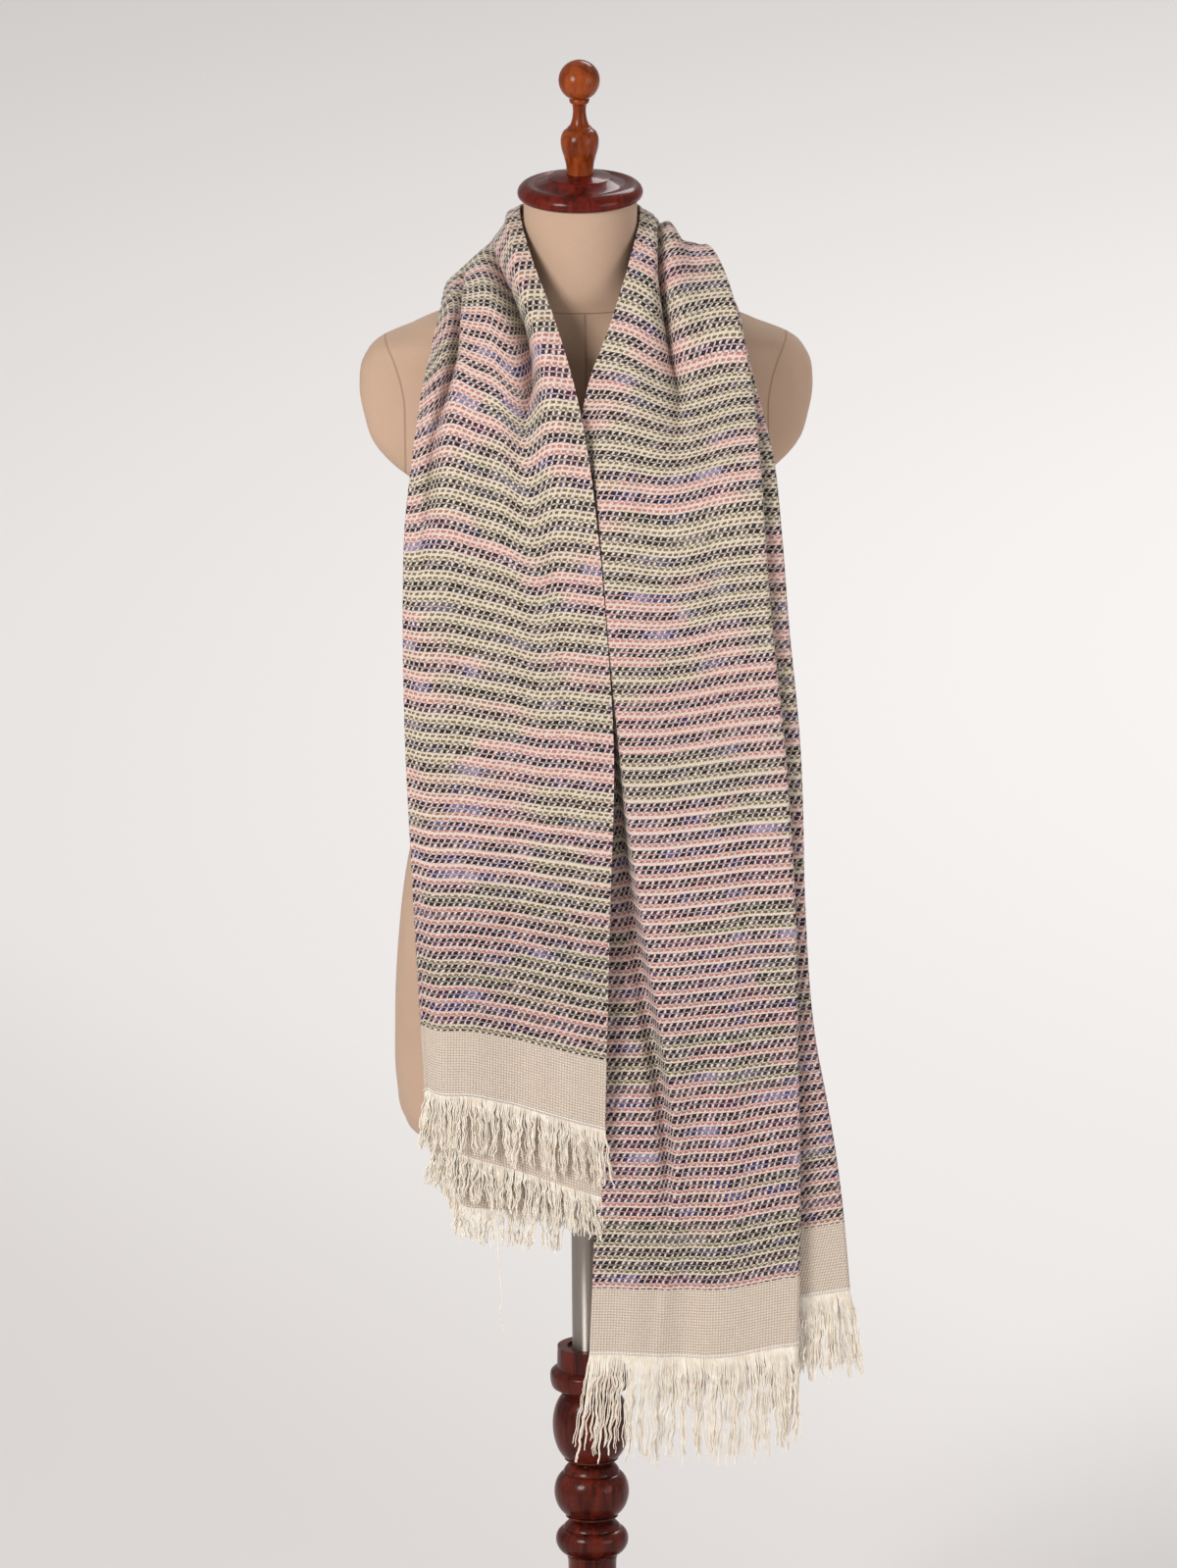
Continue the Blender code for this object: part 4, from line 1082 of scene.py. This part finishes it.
def even_row(along, count):
    """Evenly spaced points along one weft row, and the layer that each lies in."""
    samples = weft_samples()
    row = weft_row(along, samples)
    lengths = lengths_along(row)
    places = (np.arange(count) + 0.5) / count * lengths[-1]
    return points_at(places, lengths, row), np.rint(np.interp(places, lengths, samples[0])).astype(int)


def fringe_lines(edge, away, layer_lengths, varies, seed):
    """A line for each yarn: it leaves the hem in the cloth's surface and bunches into locks."""
    draws = np.random.default_rng(seed)
    shares = np.linspace(0.0, 1.0, YARN_POINTS)
    layers = even_row(edge, YARNS)[1]
    lengths = np.array(layer_lengths)[layers]
    longest = max(layer_lengths)
    rows = np.array([even_row(edge + away * (longest * share - 0.001), YARNS)[0]
                     for share in shares])
    lock = np.cumsum(draws.random(YARNS) < 1.0 / LOCK)
    reach = lengths + draws.uniform(-varies, varies, YARNS)
    reach *= 1 + 5 * varies * np.sin(lock * 1.7)  # neighbouring locks differ in length
    lean = draws.normal(0.0, LOCK_LEAN, (lock[-1] + 1, 3)) * LEAN_BY_AXIS
    left, right = rows[0, :, 0].min(), rows[0, :, 0].max()
    down = shares[:, None]
    lines = []
    for yarn in range(YARNS):
        mates = np.flatnonzero(lock == lock[yarn])
        places = shares * reach[yarn] / longest
        path = points_at(places, shares, rows[:, yarn])
        middle = points_at(places, shares, rows[:, mates].mean(axis=1))
        beyond = max(reach[yarn] - longest, 0.0) * down ** 3 * (0, 0, -1)
        own = draws.normal(0.0, YARN_STRAY, 3) * down
        out = (2 * (path[0, 0] - left) / (right - left) - 1) ** 3 * FRINGE_FLARE
        path = path + (middle - path) * LOCK_CLING * down ** 2.2 + lean[lock[yarn]] * down ** 1.4
        lines.append(path + beyond + own + (out, 0.0, 0.0) * down)
    return lines


def cream_yarn():
    made, tree = new_finish("cream_wool_yarn", 0.9, Sheen_Weight=0.15, Sheen_Roughness=0.5,
                            Specular_IOR_Level=0.15, Subsurface_Weight=0.35,
                            Subsurface_Radius=(0.008, 0.0065, 0.005))
    place = object_place(tree)
    wool = place.speckle(120.0).step(0.35, 0.65).blend((0.86, 0.775, 0.66), (0.95, 0.88, 0.775))
    return lay_on(made, wool, place.speckle(3500.0), 0.0002, 0.5)


yarn = cream_yarn()
spinner = thread_spinner("spin_yarn", 4, crimped=True)
fringe_short = spin_lines("fringe_short_end_yarns",
                          fringe_lines(0.0, -1, SHORT_FRINGE, SHORT_FRINGE_VARIES, 3),
                          spinner, yarn, YARN_RADIUS, crimp=0.0080, per_metre=115.0)
fringe_long = spin_lines("fringe_long_end_yarns",
                         fringe_lines(SHAWL_LENGTH, 1, LONG_FRINGE, LONG_FRINGE_VARIES, 5),
                         spinner, yarn, YARN_RADIUS, crimp=0.0085, per_metre=78.0)
loose_thread = spin_lines("loose_thread", [np.array(LOOSE_THREAD)], spinner, yarn, 0.0006,
                          crimp=0.002, per_metre=70.0)
for piece, node in ((fringe_short, "fringe_short_end"), (fringe_long, "fringe_long_end")):
    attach(piece, "root")
    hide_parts(node)
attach(loose_thread, "root")


# ---------------------------------------------------------------------------
# Stay stitch. A white cotton thread, sewn along each band's edge so that the
# weave does not run out into the fringe.
# ---------------------------------------------------------------------------
STITCH_FROM_EDGE = 0.0020
STITCH_RADIUS = 0.00055
STITCH_PITCH = 0.0050


def stitch_line(along):
    """A thread that lies on the cloth and dips between its stitches."""
    samples = weft_samples()
    row = weft_row(along, samples)
    travel = weft_row(along + NEARBY, samples) - weft_row(along - NEARBY, samples)
    outward = unit(np.cross(travel, np.gradient(row, axis=0)))
    lengths = lengths_along(row)
    places = np.arange(0.0, lengths[-1], STITCH_PITCH / 5)
    proud = WALL / 2 + STITCH_RADIUS * (0.2 + 0.7 * np.abs(np.sin(np.pi * places / STITCH_PITCH)))
    return points_at(places, lengths, row) + points_at(places, lengths, outward) * proud[:, None]


def white_cotton():
    made, tree = new_finish("white_cotton_thread", 0.7, Specular_IOR_Level=0.3)
    twist = object_place(tree).speckle(1800.0)
    return lay_on(made, twist.blend((0.78, 0.76, 0.76), (0.92, 0.91, 0.92)), twist, 0.0002, 0.5)


cotton = white_cotton()
sewer = thread_spinner("sew_thread", 5, crimped=False)
for name, along in (("stay_stitch_short_end", STITCH_FROM_EDGE),
                    ("stay_stitch_long_end", SHAWL_LENGTH - STITCH_FROM_EDGE)):
    piece = spin_lines(name, [stitch_line(along)], sewer, cotton, STITCH_RADIUS)
    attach(piece, "root")


# ---------------------------------------------------------------------------
# Studio. A pale floor that runs off past the picture, large soft lights and a
# long lens a little above the form's shoulders.
# ---------------------------------------------------------------------------
FLOOR_RADIUS = 60.0
FLOOR_FADES = (8.0, 26.0)  # distances over which the floor turns into the air behind it
AIR_COLOUR = (1.0, 0.975, 0.96, 1.0)
AIR_STRENGTH = 0.38
CAMERA_DISTANCE = 30.0
CAMERA_ELEVATION = math.radians(16.2)
CAMERA_LEAN = math.radians(-0.51)
PICTURE_HEIGHT = 1.487   # metres seen at the form, from the top to the bottom of the picture
SENSOR = 36.0
AIM = Vector((0.0029, 0.0, 0.9723))
LIGHTS = (
    # name, place, where it points, size, power, colour
    ("key_softbox", (-2.6, -3.2, 3.0), (0.0, 0.0, 1.0), 1.8, 158.0, (1.0, 0.975, 0.95)),
    ("fill_softbox", (3.2, -2.4, 1.9), (0.0, 0.0, 1.0), 2.4, 42.0, (1.0, 0.985, 0.98)),
    ("floor_softbox", (1.9, 4.3, 4.6), (1.5, 3.8, 0.0), 3.0, 163.0, (1.0, 0.985, 0.975)),
)


def pale_floor():
    """A seamless floor, which glows like the air behind it where it is far away."""
    made, tree = new_finish("pale_floor", 0.9, Specular_IOR_Level=0.1, Emission_Color=AIR_COLOUR)
    place = object_place(tree)
    x, y, _ = place.axes()
    # Painted light: the near floor is paler towards the back and the right, with some tone at random.
    tone = place.speckle(0.25, 1.0) * 0.3 + (x * 1.5 + y).step(0.1, 2.6)
    near_colour_with_painted_light = tone.blend((0.72, 0.70, 0.695), (0.86, 0.845, 0.842))
    distance = tree.nodes.new("ShaderNodeVectorMath")
    distance.operation = "LENGTH"
    place.through(distance)
    far = Reading(tree, distance.outputs["Value"]).step(*FLOOR_FADES)
    inputs = tree.nodes["Principled BSDF"].inputs
    feed(tree, inputs["Base Color"], far.blend(near_colour_with_painted_light, (0.0, 0.0, 0.0)))
    feed(tree, inputs["Emission Strength"], far * AIR_STRENGTH)
    return made


ground = bmesh.new()
bmesh.ops.create_circle(ground, cap_ends=True, segments=96, radius=FLOOR_RADIUS)
floor = give_mesh("studio_floor", ground, pale_floor())

for name, place, target, size, power, colour in LIGHTS:
    lamp = bpy.data.lights.new(name, "AREA")
    lamp.shape = "DISK"
    lamp.size = size
    lamp.energy = power
    lamp.color = colour
    aim = (Vector(target) - Vector(place)).to_track_quat("-Z", "Y").to_matrix().to_4x4()
    place_object(name, lamp).matrix_world = Matrix.Translation(place) @ aim

studio_air = bpy.data.worlds.new("studio_air")
studio_air.use_nodes = True
sky = studio_air.node_tree.nodes["Background"]
sky.inputs["Color"].default_value = AIR_COLOUR
sky.inputs["Strength"].default_value = AIR_STRENGTH
bpy.context.scene.world = studio_air

lens = bpy.data.cameras.new("portrait_lens")
lens.sensor_fit = "VERTICAL"
lens.sensor_height = SENSOR
lens.lens = SENSOR * CAMERA_DISTANCE / PICTURE_HEIGHT
lens.clip_end = 200.0
camera = place_object("camera", lens)
back = Vector((0.0, -math.cos(CAMERA_ELEVATION), math.sin(CAMERA_ELEVATION)))
eye = AIM + CAMERA_DISTANCE * back
facing = (AIM - eye).to_track_quat("-Z", "Y").to_matrix().to_4x4()
camera.matrix_world = Matrix.Translation(eye) @ facing @ Matrix.Rotation(CAMERA_LEAN, 4, "Z")
bpy.context.scene.camera = camera
bpy.context.scene.view_settings.view_transform = "Standard"
